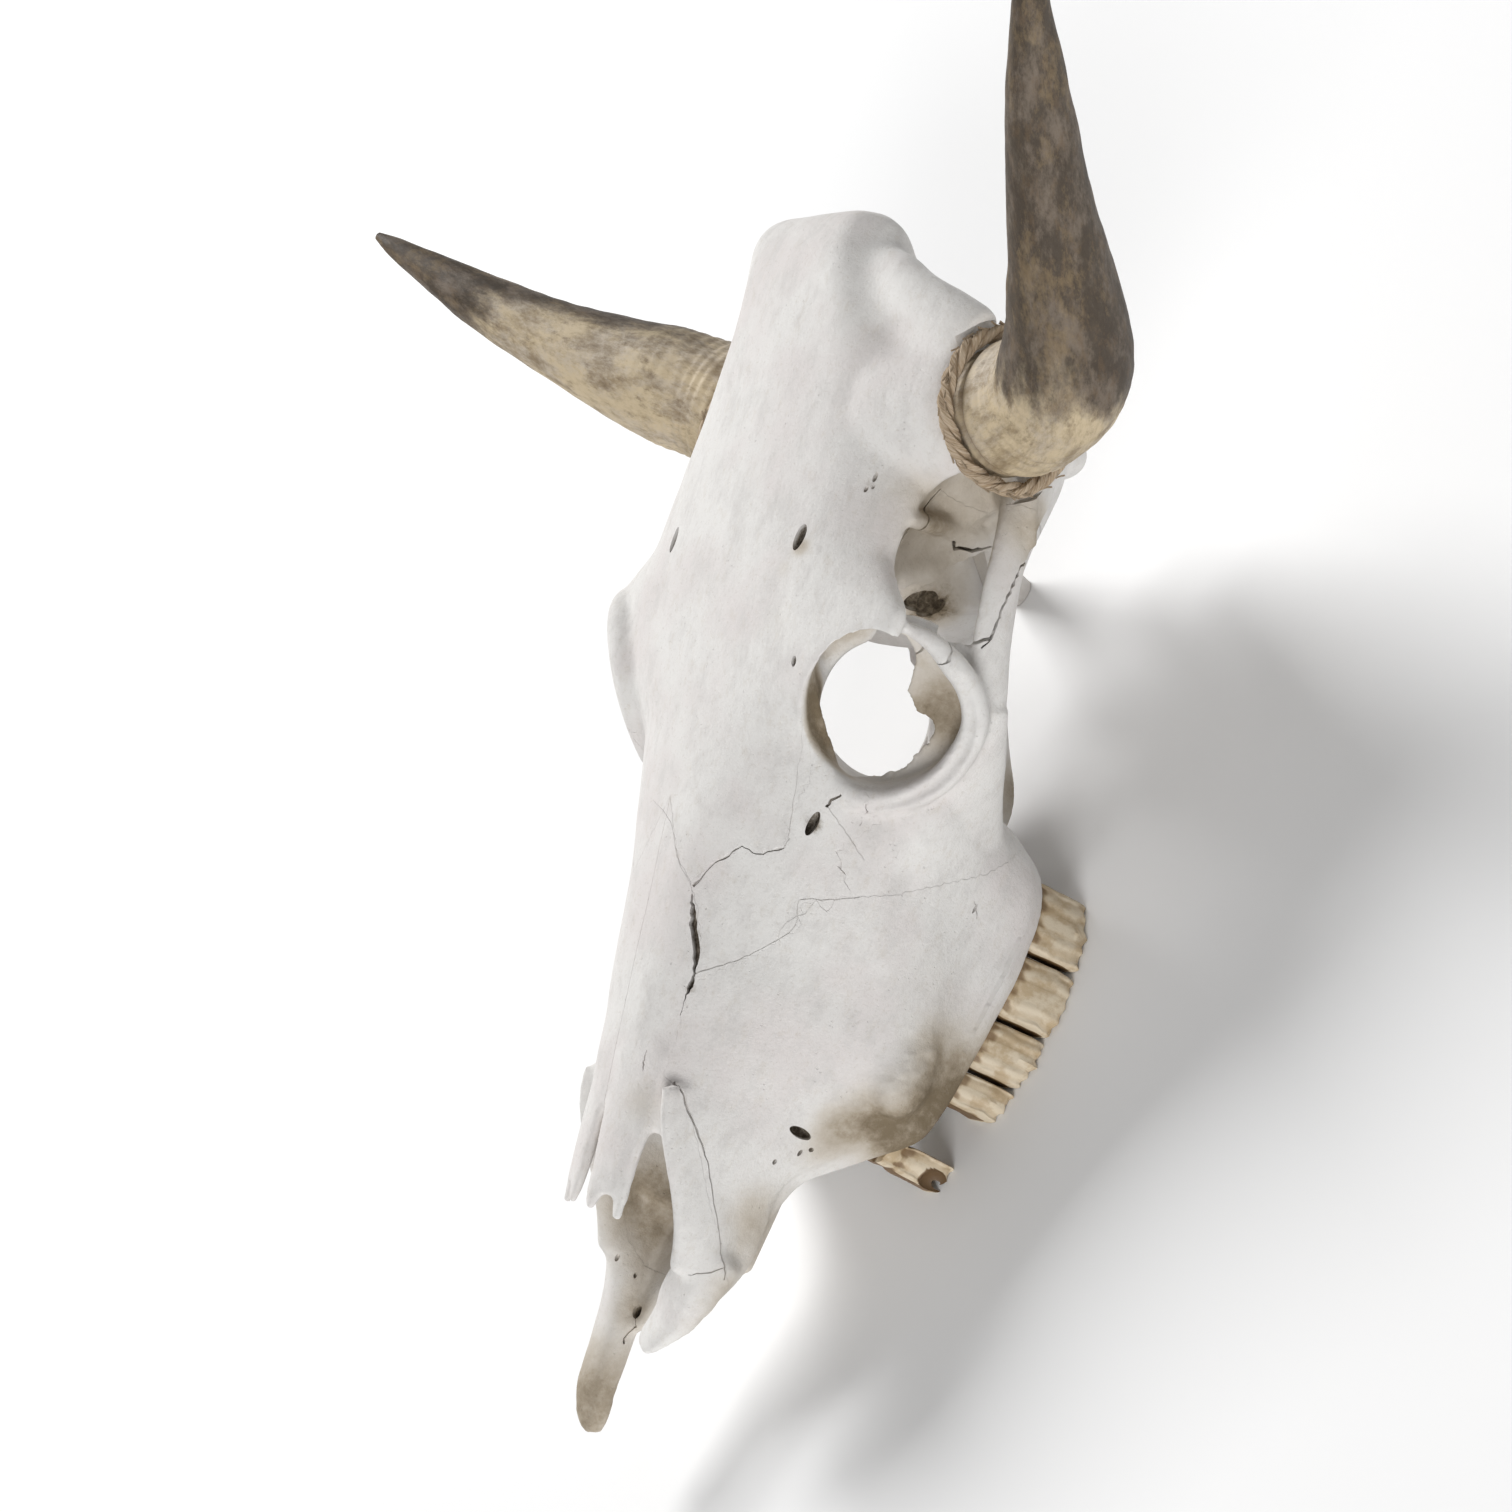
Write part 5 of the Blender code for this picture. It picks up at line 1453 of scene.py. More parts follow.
# ---- teeth
@dataclass(frozen=True)
class Tooth:
    """One cheek tooth, folded down the cheek side and worn flat at the floor."""

    first: float
    last: float
    breadth: float
    lobes: int
    side: Side
    seed: int
    around: int = 112
    gum_z: float = 21.0
    gum_half: Keys = (
        (143, 53), (156, 58), (176, 66), (192, 70), (213, 74), (232, 75.5), (247, 74.5), (263, 71), (277, 65),
    )
    chew_half: Keys = (
        (143, 59), (156, 64), (176, 74), (192, 80.5), (213, 85.5), (232, 87), (247, 85.5), (263, 80.5), (277, 73.5),
    )
    # Place along the tooth, height and width of each crest, by the number of lobes.
    crests: Sequence = (
        ((0.08, 2.2, 0.07), (0.46, 1.5, 0.11), (0.94, 1.9, 0.06)),
        ((0.05, 2.5, 0.045), (0.27, 1.0, 0.07), (0.5, 2.6, 0.045), (0.75, 0.9, 0.07), (0.96, 1.9, 0.045)),
    )
    # The chewing face from its edge inwards: share of the outline, and height.
    face: Keys = ((0.9, 0.05), (0.84, 0.7), (0.7, 0.95), (0.52, 0.9), (0.34, 0.9), (0.16, 0.8), (0.04, 0.8))

    def outline(self) -> np.ndarray:
        """Shares along and across the tooth, from -1 to 1, for each point round it."""
        turns = 2 * math.pi * np.arange(self.around) / self.around
        return np.array([np.sign(wave) * np.abs(wave) ** 0.5 for wave in (np.cos(turns), np.sin(turns))])

    def folds(self, t: np.ndarray) -> np.ndarray:
        """How far the cheek side stands out.

        Args:
            t: Share of the tooth's length at each point.

        Returns:
            Millimetres at each point.
        """
        rng = np.random.default_rng(self.seed)
        out = np.full(t.shape, -1.5)
        for place, high, wide in self.crests[self.lobes - 1]:
            place += rng.uniform(-0.02, 0.02)
            out += high * rng.uniform(0.7, 1.3) * np.exp(-((t - place) / wide / rng.uniform(0.8, 1.3)) ** 2)
        return out

    def ring(self, z: float, crown: float, cheek: np.ndarray, inset: float, share: float = 1.0) -> np.ndarray:
        """Points round the tooth at one height.

        Args:
            z: The height.
            crown: 1 where the crown is widest and 0 at the gum.
            cheek: How far the cheek side stands out at each point.
            inset: How far the ring is drawn in all round.
            share: How far it is drawn in towards its middle.

        Returns:
            X, Y and Z of each point.
        """
        u, v = self.outline()
        y = (self.first + self.last) / 2 + u * ((self.last - self.first) / 2 - inset - 0.25) * share
        outer = np.array([along(self.gum_half, p) * (1 - crown) + along(self.chew_half, p) * crown for p in y])
        tongue = 1.6 * np.abs(np.sin(math.pi * self.lobes * ((u + 1) / 2))) ** 0.7
        swell = np.where(v > 0, cheek, tongue) * np.abs(v) ** 2 * (0.45 + 0.55 * crown)
        x = outer - self.breadth / 2 + v * (self.breadth / 2 - inset) * share + np.sign(v) * swell * share
        return np.column_stack((x * self.side.value, y, np.full(len(y), z)))

    def wells(self, ring: np.ndarray) -> np.ndarray:
        """The crescent pits of the chewing face.

        Args:
            ring: Points of the face.

        Returns:
            0 to 1 for each point.
        """
        well = np.zeros(len(ring))
        for lobe in range(self.lobes):
            middle = self.first + (self.last - self.first) * (lobe + 0.5) / self.lobes
            outer = along(self.chew_half, middle) - self.breadth * 0.42
            dy = (ring[:, 1] - middle) / ((self.last - self.first) / self.lobes * 0.32)
            dx = (np.abs(ring[:, 0]) - (outer + 2.2 * dy ** 2 * 0.6)) / 1.7
            well = np.maximum(well, np.exp(-dx ** 2) * smooth_step(1.25, 0.8, np.abs(dy)))
        return well

    def build(self) -> Object:
        """The tooth, with stored groove and pit paint.

        Returns:
            A closed mesh.
        """
        u, v = self.outline()
        t = (u + 1) / 2
        rings, grooves, pits = [], [], []
        for z in list(np.linspace(self.gum_z + 8, 0.9, 22)) + [0.35, 0.0]:
            sway = 0.022 * math.sin(0.42 * z + self.seed) + 0.012 * math.sin(1.1 * z + 2 * self.seed)
            cheek = self.folds(t + sway)
            crown = float(smooth_step(self.gum_z + 2, 2.0, z))
            inset = 0.5 if z < 0.1 else 0.15 if z < 0.5 else 0.0
            neck = 0.9 * math.exp(-((z - self.gum_z) / 2.5) ** 2)
            ring = self.ring(z, crown, cheek, inset + neck)
            ring[:, 2] += np.clip(-cheek, 0, 1.5) * 0.9 * (v > 0.3) * math.exp(-z / 2.5)
            rings.append(ring)
            hollow = smooth_step(-0.4, -1.7, cheek) * (v > 0.2)
            neck_dirt = math.exp(-((z - self.gum_z + 0.5) / 2.2) ** 2)
            grooves.append(np.clip(hollow * 0.75 + neck_dirt * 0.8 + 0.2 * (np.abs(u) > 0.93), 0, 1))
            pits.append(np.where(np.abs(u) > 0.965, 0.55, 0.0) * (z > 2))
        for share, lift in self.face:
            ring = self.ring(0.0, 1.0, self.folds(t), 0.5, share)
            well = self.wells(ring)
            ring[:, 2] += lift + well * 2.6
            rings.append(ring)
            grooves.append(np.full(self.around, 0.75 if share < 0.88 else 0.1))
            pits.append(np.clip(well * 1.4, 0, 1))
        mesh = wrap(rings)
        order = sources(mesh, np.concatenate(rings))
        points = points_of(mesh)
        rough = noise(points, 5, self.seed, 2) * 0.22 + noise(points * (1, 1, 0.25), 1.6, self.seed + 2) * 0.1
        set_points(mesh, points + normals_of(mesh) * (rough * (points[:, 2] > 0.3))[:, None])
        set_attribute(mesh, "groove", np.concatenate(grooves)[order])
        set_attribute(mesh, "pit", np.concatenate(pits)[order])
        return mesh


@dataclass(frozen=True)
class ToothRow:
    """The cheek teeth of one side; the left side lost its P3, and its P2 is a hollow stump."""

    side: Side
    # First Y, last Y, breadth and number of lobes of P2, P3, P4, M1, M2 and M3.
    teeth: Sequence = ((143, 156, 13, 1), (159, 175, 17, 1), (176.5, 191.5, 20, 1), (192.5, 215, 23, 2),
                       (216, 244.5, 24, 2), (245.5, 277, 22, 2))
    lost_at: float = 159            # first Y of the tooth that the left side lost
    decay_at: Point = (62, 146, 6)
    decay_paint: float = 0.72

    def build(self) -> Object:
        """All teeth of the side as one mesh.

        Returns:
            A mesh of closed shells.
        """
        left = self.side is Side.LEFT
        sizes = [row for row in self.teeth if not (left and row[0] == self.lost_at)]
        teeth = [Tooth(*row, self.side, 60 + k * 3 + self.side.value).build() for k, row in enumerate(sizes)]
        if left:
            combine(teeth[0], ball(self.decay_at, (7, 5.5, 6.5), (0, 0, 20)))
            inside = np.sum(((points_of(teeth[0]) - self.decay_at) / (7.4, 6, 7)) ** 2, axis=1) < 1
            for index in np.flatnonzero(inside):
                teeth[0].data.attributes["pit"].data[int(index)].value = self.decay_paint
        return join(teeth)


# ---- weather: dents, cracks, stains
def mark(row: Sequence[float], points: np.ndarray, both: bool = False) -> np.ndarray:
    """Strength of a soft round mark at each point.

    Args:
        row: X, Y and Z of the mark on the surface, its width and how strong it is.
        points: The places asked for.
        both: True if it has a mirror image on the other side.

    Returns:
        Its full strength at its middle, fading to 0.
    """
    shown = np.abs(points[:, 0]) if both else points[:, 0]
    gap = np.column_stack((shown, points[:, 1:])) - np.array(row[:3])
    return row[4] * np.exp(-np.sum(gap ** 2, axis=1) / (0.5 * row[3]) ** 2)


def crack(path: Keys, depth: float, surface: BVHTree) -> Object:
    """A narrow wedge that follows the surface, to be taken out of the body.

    Args:
        path: Points of the crack, each with its width.
        depth: How deep it goes.
        surface: The body's surface, in metres.

    Returns:
        A closed mesh.
    """
    proud, narrowest, wander = 1.5, 0.16, 0.35      # how far it stands out, its least width, its sway
    rows = through(path, 4)
    rng = np.random.default_rng(len(rows) + int(depth * 10))
    found = [surface.find_nearest(Vector(row[:3]) * MM) for row in rows]
    places = np.array([np.array(near[0]) / MM for near in found])
    normals = np.array([np.array(near[1]) for near in found])
    for _ in range(3):
        normals[1:-1] = (normals[:-2] + normals[1:-1] * 2 + normals[2:]) / 4
    rings = []
    for place, normal, tangent, width in zip(places, normals, np.gradient(places, axis=0), rows[:, 3]):
        across = np.cross(normal, tangent)
        across /= np.linalg.norm(across)
        normal = normal / np.linalg.norm(normal)
        place = place + across * rng.uniform(-wander, wander)
        half = across * (max(width, narrowest) / 2 * rng.uniform(0.75, 1.2))
        top, foot = normal * proud, normal * (depth * min(1.0, 0.35 + width))
        rings.append([place + half + top, place - half + top, place - half * 0.7 - foot, place + half * 0.7 - foot])
    return wrap(rings)


@dataclass(frozen=True)
class Weather:
    """What years have done to the bone, dents, rough places, cracks, holes and dirt, and the painted shade in its
    hollows, holes and cracks.
    """

    dents: Keys = (
        (43, 308, 179, 16, 0.9), (42, 320, 182, 12, 0.7), (72, 217, 87, 22, -0.8), (61, 370, 177, 12, 0.5),
        (49, 131, 64, 14, 0.7), (64, 243, 118, 18, 0.5), (75, 242, 97, 14, 0.5), (70, 235, 104, 16, -0.5),
        (44, 193, 120, 26, 0.5), (20, 150, 131, 22, 0.8), (30, 128, 100, 16, -0.6),
    )
    # X against Y of the edge where the cheek turns from facing forward to facing sideways.
    crease: Keys = ((160, 70), (198, 72.5), (217, 72), (238, 73.5), (246, 75), (268, 78))
    temple: Sequence[float] = (62, 366, 132, 84, 2)       # its inside gets more painted shade and dirt
    crown: Keys = ((46, 450, 204, 44, 1), (66, 440, 190, 40, 0.9))
    crown_rounds: int = 140
    soft_rounds: int = 60
    dirt_and_shade_depth: float = 2.6         # how deep in a crack the dirt and painted shade are thickest
    touching: float = 0.05          # how near to a cut's surface a point is on its wall
    margin: float = 0.1             # room round the box of a cut
    paired_from: float = 4.0        # holes with a half size over this are on both sides
    soft: Keys = (
        (54, 452, 202, 70, 1.4), (76, 438, 186, 60, 1.2), (60, 425, 186, 60, 1), (52, 268, 158, 26, 1),
        (48, 290, 168, 34, 1), (56, 314, 172, 30, 1), (54, 254, 148, 22, 0.9), (32, 124, 108, 28, 0.9),
        (36, 104, 90, 34, 1), (38, 84, 76, 30, 1), (36, 72, 68, 24, 0.8), (74, 160, 50, 34, 0.9),
        (76, 205, 52, 34, 0.9), (72, 186, 74, 34, 0.9), (80, 186, 56, 48, 1.3), (24, 58, 72, 30, 0.9),
        (100, 300, 128, 24, 0.6),
    )
    rough: Keys = (
        (81, 186, 51, 24, 1.3), (80, 168, 52, 20, 1.1), (61, 158, 60, 18, 0.9), (20, 48, 64, 30, 1),
        (30, 62, 68, 22, 0.7), (-36, 12, 44, 26, 0.7), (55, 378, 125, 34, 1.3), (50, 358, 118, 24, 1.3),
        (58, 243, 132, 9, 0.9), (100, 322, 142, 10, 0.6), (61, 371, 177, 10, 0.8), (-24, 52, 53, 16, 0.9),
        (18, 84, 116, 18, 0.8),
    )
    # Vessel holes and pits: place on the surface, half sizes, and how far in the middle sits.
    holes: Sequence = (
        ((43, 342, 184), (2.6, 6.4, 7), 3), ((57, 294, 171), (1.3, 2.4, 4), 1.6),
        ((60.5, 243, 133), (2, 5.4, 6), 2), ((49.5, 138, 68.5), (5.4, 2.3, 5), 1.4),
        ((49, 134.5, 60), (1.1, 1.1, 2), 0.6), ((44, 124, 70), (0.9, 1.3, 2), 0.5),
        ((48, 131, 63), (0.8, 1.6, 2), 0.5), ((75, 247, 56), (0.7, 2.2, 2), 0.5),
        ((61, 374, 176), (0.9, 2.2, 1.6), 0.4), ((60, 368, 177), (0.8, 1.6, 1.4), 0.4),
        ((62, 370, 176), (0.7, 1.2, 1.4), 0.3), ((-31, 68, 68), (0.9, 1.8, 1.6), 0.3),
        ((-28, 65, 58), (0.9, 1.4, 1.6), 0.3), ((-24, 52, 53), (2, 3, 4), 0.6),
        ((41, 352, 118), (6, 8, 9), 3), ((45, 346, 111), (4, 7, 7), 2),
    )
    # Points with a width each, and how deep the crack goes.
    cracks: Sequence = (
        # Nose bone against the upper jaw, open in two places.
        (((20.5, 203, 144, 0.7), (21.5, 199, 142, 1.5), (23, 193, 139, 3.4), (26, 183, 134, 3.2),
          (26.5, 175, 131.5, 1), (26, 170, 130, 2.2), (25, 165, 129, 0.5), (24.5, 158, 128, 0.3)), 4.5),
        (((14, 212, 150, 0.3), (10, 218, 153, 0.25), (4, 227, 157, 0.3), (-12, 235, 159, 0.2)), 0.5),
        # Forehead against the lacrimal bone.
        (((20.5, 206, 145, 1.6), (24, 211, 145, 0.8), (28, 217, 145, 0.6), (33, 221, 144.5, 0.9),
          (37, 226, 143, 0.6), (42, 225, 139, 0.5), (47, 228, 136.5, 0.6), (51, 231, 134, 0.5)), 1.5),
        (((51, 231, 134, 0.6), (53, 236, 136, 0.6), (53, 243, 139, 0.5), (56, 252, 145, 0.3),
          (59, 261, 152, 0.2), (63, 269, 157, 0.25), (66, 275, 160, 0.2)), 0.6),
        # Lacrimal bone against the upper jaw.
        (((27, 175, 131, 0.9), (33, 181, 127, 0.5), (39, 187, 123, 0.5), (44, 193, 120, 0.35),
          (50, 200, 117.5, 0.5), (54, 207, 116, 0.4), (55, 216, 120, 0.5), (62, 221, 112, 0.4),
          (68, 227, 104, 0.3)), 0.7),
        (((51, 197, 117, 0.3), (50, 203, 119, 0.4), (53, 210, 117, 0.3), (57, 213, 116, 0.4),
          (58, 219, 115, 0.3), (62, 216, 111, 0.4), (63, 223, 110, 0.3)), 0.5),
        # Front bone against the upper jaw.
        (((26.5, 134, 119, 1.5), (32, 126, 111, 1.6), (35, 119, 102, 1.1), (37, 112, 95, 0.6),
          (39, 103, 88, 0.6), (40, 96, 82, 0.8), (41, 88, 75, 0.7), (42, 80, 69, 1.1),
          (42.5, 74, 66, 0.8)), 1.3),
        (((106, 326, 128, 0.7), (106, 332, 124.5, 0.6), (101, 346, 124, 0.8), (98, 358, 123, 0.5)), 3.2),
        (((65, 250, 134, 1.4), (69, 255, 135, 1)), 2.2),
        (((76, 257, 125, 0.6), (75, 252, 122, 0.7), (73, 249, 121, 0.3)), 1),
        (((63, 252, 133, 0.5), (67, 247, 126, 0.3), (70, 243, 119, 0.4), (72, 239, 112, 0.25)), 0.6),
        (((-24, 52, 53, 0.8), (-22, 46, 54, 0.5), (-20, 38, 50, 1.2)), 1.6),
        (((17, 141, 130, 0.3), (17, 136, 129, 0.9), (17.5, 133, 128, 0.3)), 1),
        (((58, 372, 127, 1.2), (56, 377, 117, 2), (58, 383, 109, 1)), 3.4),
        (((78, 249, 58, 0.3), (76, 247, 55, 0.8), (75, 244, 53, 0.4)), 0.9),
        (((36, 70, 80, 0.3), (37, 74, 74, 0.7), (39, 79, 68, 0.4)), 0.9),
    )
    # Stains, with painted shade in the temples, under the back of the cheek arch and round the holes: X, Y, Z, width
    # and strength.
    stain_and_shade_marks: Keys = (
        (55, 146, 58, 20, 0.5), (62, 156, 50, 26, 0.62), (62, 158, 34, 34, 0.85), (52, 134, 56, 22, 0.35),
        (78, 166, 42, 30, 0.55), (42, 70, 60, 22, 0.5), (40, 104, 68, 24, 0.25), (56, 152, 16, 34, 0.8),
        (-36, 8, 44, 46, 0.95), (-34, 30, 50, 26, 0.45), (28, 56, 54, 26, 0.5), (18, 122, 123, 20, 0.28),
        (72, 186, 30, 44, 0.4), (60, 178, 24, 44, 0.55), (94, 384, 119, 26, 0.8), (40, 352, 112, 26, 0.9),
        (66, 374, 150, 34, 0.55), (62, 364, 136, 62, 0.42), (22, 98, 58, 36, 0.75), (-28, 72, 50, 34, 0.35),
        (-26, 96, 72, 44, 0.75), (14, 84, 52, 26, 0.35), (45, 338, 182, 8, 0.8), (62, 180, 8, 60, 0.3),
        (22, 315, 24, 26, 0.8), (41, 328, 184, 9, 0.25), (-24, 52, 53, 18, 0.6), (44, 308, 179, 20, 0.14),
        (39, 461, 197, 16, 0.14), (70, 380, 120, 40, 0.3), (79, 190, 46, 22, 0.45), (72, 215, 60, 40, 0.12),
        (-30, 90, 60, 40, 0.2), (0, 100, 56, 50, 0.35),
    )
    # Dirt, with painted shade in the holes, cracks and temples: X, Y, Z, width and strength.
    grime_and_shade_marks: Keys = (
        (81, 188, 51, 13, 0.72), (82, 178, 49, 12, 0.62), (82, 196, 51, 8, 0.55), (61, 157, 57, 10, 0.45),
        (60, 243, 132, 9, 1.15), (61, 371, 177, 8, 0.6), (21, 206, 146, 5, 0.7), (24, 190, 136, 9, 0.6),
        (26, 169, 129, 7, 0.8), (41, 353, 114, 24, 1), (46, 345, 110, 20, 0.8), (-24, 48, 54, 9, 0.7),
        (50, 139, 67, 7, 0.55), (56, 378, 116, 12, 0.6), (18, 128, 124, 11, 0.32), (22, 130, 123, 7, 0.45),
        (44, 340, 183, 6, 0.6), (51, 360, 133, 16, 0.4), (68, 376, 156, 22, 0.55), (62, 356, 154, 16, 0.45),
        (-30, 67, 64, 8, 0.5), (42, 79, 67, 6, 0.6),
    )

    @staticmethod
    def soften(body: Object, marks: Keys, rounds: int) -> None:
        """Melts the forms together where the real bone runs on smoothly.

        Args:
            body: The whole body, before it is weathered.
            marks: Where.
            rounds: How far, as smoothing rounds at full grain.
        """
        points = points_of(body)
        weight = np.clip(sum(mark(row, points, both=True) for row in marks), 0, 1)
        group = body.vertex_groups.new(name="soft")
        for step in range(1, 11):
            near = np.flatnonzero(np.round(weight * 10) == step)
            if len(near):
                group.add(near.tolist(), step / 10, 'REPLACE')
        rounds = round(rounds * (Grain.FULL.value / GRAIN.value) ** 2)
        apply(body, 'SMOOTH', factor=0.5, iterations=rounds, vertex_group="soft")
        body.vertex_groups.clear()

    def shape(self, body: Object) -> None:
        """Presses the dents, undulations and rough places into the body.

        Args:
            body: The whole body, before it is parted.
        """
        points, normals = points_of(body), normals_of(body)
        lift = noise(points, 42, 3, 2) * 0.55 + noise(points * (1, 0.4, 1), 9, 4, 2) * 0.16
        for dent in self.dents:
            lift -= mark(dent, points, both=True)
        coarse = noise(points, 5.5, 11, 3)
        for row in self.rough:
            lift += np.clip(mark(row, points), 0, 1.6) * coarse * 1.1
        line = np.array([along(self.crease, y) for y in range(150, 281)])
        beyond = np.abs(points[:, 0]) - np.interp(points[:, 1], np.arange(150, 281), line)
        span = smooth_step(165, 185, points[:, 1]) * smooth_step(268, 250, points[:, 1])
        outward = (normals[:, 0] * np.sign(points[:, 0]) > 0.1) & (points[:, 2] > 30)
        lift -= outward * span * 1.9 * smooth_step(-1.0, 5.0, beyond) * smooth_step(16.0, 5.0, beyond)
        sole = smooth_step(1.0, 6.0, points[:, 2])
        set_points(body, points + normals * (lift * sole)[:, None])

    def cut(self, body: Object) -> tuple[BVHTree, list]:
        """Cuts the vessel holes and cracks into the body.

        Args:
            body: The whole body, before it is parted.

        Returns:
            The surface before the cuts, and the box and surface of each cut.
        """
        surface = BVHTree.FromObject(body, bpy.context.evaluated_depsgraph_get())
        tools = [crack(path, depth, surface) for path, depth in self.cracks]
        for at, radii, sink in self.holes:
            for mirror in ((1, -1) if max(radii[:2]) > self.paired_from and at[0] > 0 else (1,)):
                point, normal, _, _ = surface.find_nearest(Vector((at[0] * mirror, at[1], at[2])) * MM)
                centre = np.array(point) / MM - np.array(normal) * sink
                hole = ball((0, 0, 0), radii)
                set_points(hole, points_of(hole) @ self.heading(normal) + centre)
                tools.append(hole)
        walls, groups = [], []
        for tool in tools:
            places = points_of(tool)
            low, high = places.min(axis=0) - self.margin, places.max(axis=0) + self.margin
            walls.append((low, high, BVHTree.FromObject(tool, bpy.context.evaluated_depsgraph_get())))
            for group in groups:
                if all(np.any(low > other_high) or np.any(high < other_low) for _, other_low, other_high in group):
                    group.append((tool, low, high))
                    break
            else:
                groups.append([(tool, low, high)])
        for group in groups:
            combine(body, join([tool for tool, _, _ in group]))
        return surface, walls

    @staticmethod
    def heading(normal: Vector) -> np.ndarray:
        """Rows that turn a hole's own X, Y and Z to across, along the skull and out of the surface.

        Args:
            normal: The way out of the surface.

        Returns:
            Three rows of length 1.
        """
        out = np.array(normal) / np.linalg.norm(normal)
        ahead = np.array((0.0, 1.0, 0.0)) - out * out[1]
        ahead = ahead / np.linalg.norm(ahead)
        return np.array((np.cross(ahead, out), ahead, out))

    def dirt_and_shade_in(self, points: np.ndarray, surface: BVHTree, walls: list) -> np.ndarray:
        """Dirt and painted shade on the walls of the cracks and holes.

        Args:
            points: The bone's points.
            surface: The body's surface before the cuts.
            walls: The box and surface of each cut.

        Returns:
            0 outside the cuts, to 1 on their walls.
        """
        dirt = np.zeros(len(points))
        for low, high, wall in walls:
            for index in np.flatnonzero(np.all((points > low) & (points < high), axis=1)):
                place = Vector(points[index]) * MM
                if wall.find_nearest(place, self.touching * MM)[0] is not None:
                    deep = surface.find_nearest(place)[3] / MM
                    # painted shade as well as dirt: darker the deeper the wall lies under the old surface
                    dirt[index] = max(dirt[index], 0.15 + min(deep / self.dirt_and_shade_depth, 0.95))
        return dirt

    def paint(self, bone: Object, socket: EyeSocket, sky: "Sky", surface: BVHTree, walls: list) -> None:
        """Stores how enclosed, stained and dirty one finished bone is, with its painted shade.

        Args:
            bone: The bone, in the skull's own frame.
            socket: The eye socket, whose inside is painted with shade.
            sky: How much of the open air each place sees.
            surface: The body's surface before the cracks and holes.
            walls: The box and surface of each crack and hole.
        """
        points = points_of(bone)
        # stains, with painted shade inside the eye sockets
        stain_and_shade = sum(mark(row, points) for row in self.stain_and_shade_marks) + socket.shade(points)
        stain_and_shade = stain_and_shade + 0.25 * smooth_step(30, 12, points[:, 2])
        # dirt, with painted shade in the holes, cracks and temples
        grime_and_shade = sum(mark(row, points) for row in self.grime_and_shade_marks)
        grime_and_shade = np.maximum(grime_and_shade, self.dirt_and_shade_in(points, surface, walls))
        temple = mark(self.temple, points, both=True)
        # painted shade and dirt: how enclosed each place is, more so in the temple
        set_attribute(bone, "hollow", np.clip(sky.hollow(points) * (1 + temple), 0, 1.2))
        set_attribute(bone, "stain_and_shade", np.clip(stain_and_shade, 0, 1.2))
        set_attribute(bone, "grime_and_shade", np.clip(grime_and_shade, 0, 1.2))


class Sky:
    """How enclosed each place of the skull is, from rays cast off a coarse copy; the bone paint darkens with it, as
    painted shade and dirt.
    """

    def __init__(self, body: Object, cell: float = 4.0, rays: int = 20, reach: float = 60.0) -> None:
        """Casts the rays.

        Args:
            body: The whole body.
            cell: Grain of the coarse copy in millimetres.
            rays: Rays from each place.
            reach: How far a ray looks, in millimetres.
        """
        coarse = grow(copy_of(body), cell)
        tree = BVHTree.FromObject(coarse, bpy.context.evaluated_depsgraph_get())
        golden = math.pi * (3 - math.sqrt(5))
        fan = []
        for k in range(rays):
            high = math.sqrt((k + 0.5) / rays)
            flat = math.sqrt(1 - high * high)
            fan.append(Vector((flat * math.cos(golden * k), flat * math.sin(golden * k), high)))
        vertices = coarse.data.vertices
        self.values = np.zeros(len(vertices))
        self.places = KDTree(len(vertices))
        for index, vertex in enumerate(vertices):
            spin = vertex.normal.to_track_quat('Z', 'Y').to_matrix()
            start = vertex.co + vertex.normal * (0.4 * cell * MM)
            hits = 0.0
            for way in fan:
                distance = tree.ray_cast(start, spin @ way, reach * MM)[3]
                if distance is not None:
                    hits += 1.0 - 0.5 * distance / (reach * MM)
            self.values[index] = hits / rays
            self.places.insert(vertex.co, index)
        self.places.balance()
        remove(coarse)

    def hollow(self, points: np.ndarray) -> np.ndarray:
        """How enclosed each point is, 0 in the open and 1 deep inside.

        Args:
            points: The places asked for, in millimetres.

        Returns:
            One number for each place.
        """
        out = np.empty(len(points))
        for k, point in enumerate(points * MM):
            near = self.places.find_n(point, 3)
            weights = [1.0 / (distance + 1e-4) for _, _, distance in near]
            out[k] = sum(self.values[index] * w for (_, index, _), w in zip(near, weights)) / sum(weights)
        return np.clip(out, 0, 1)


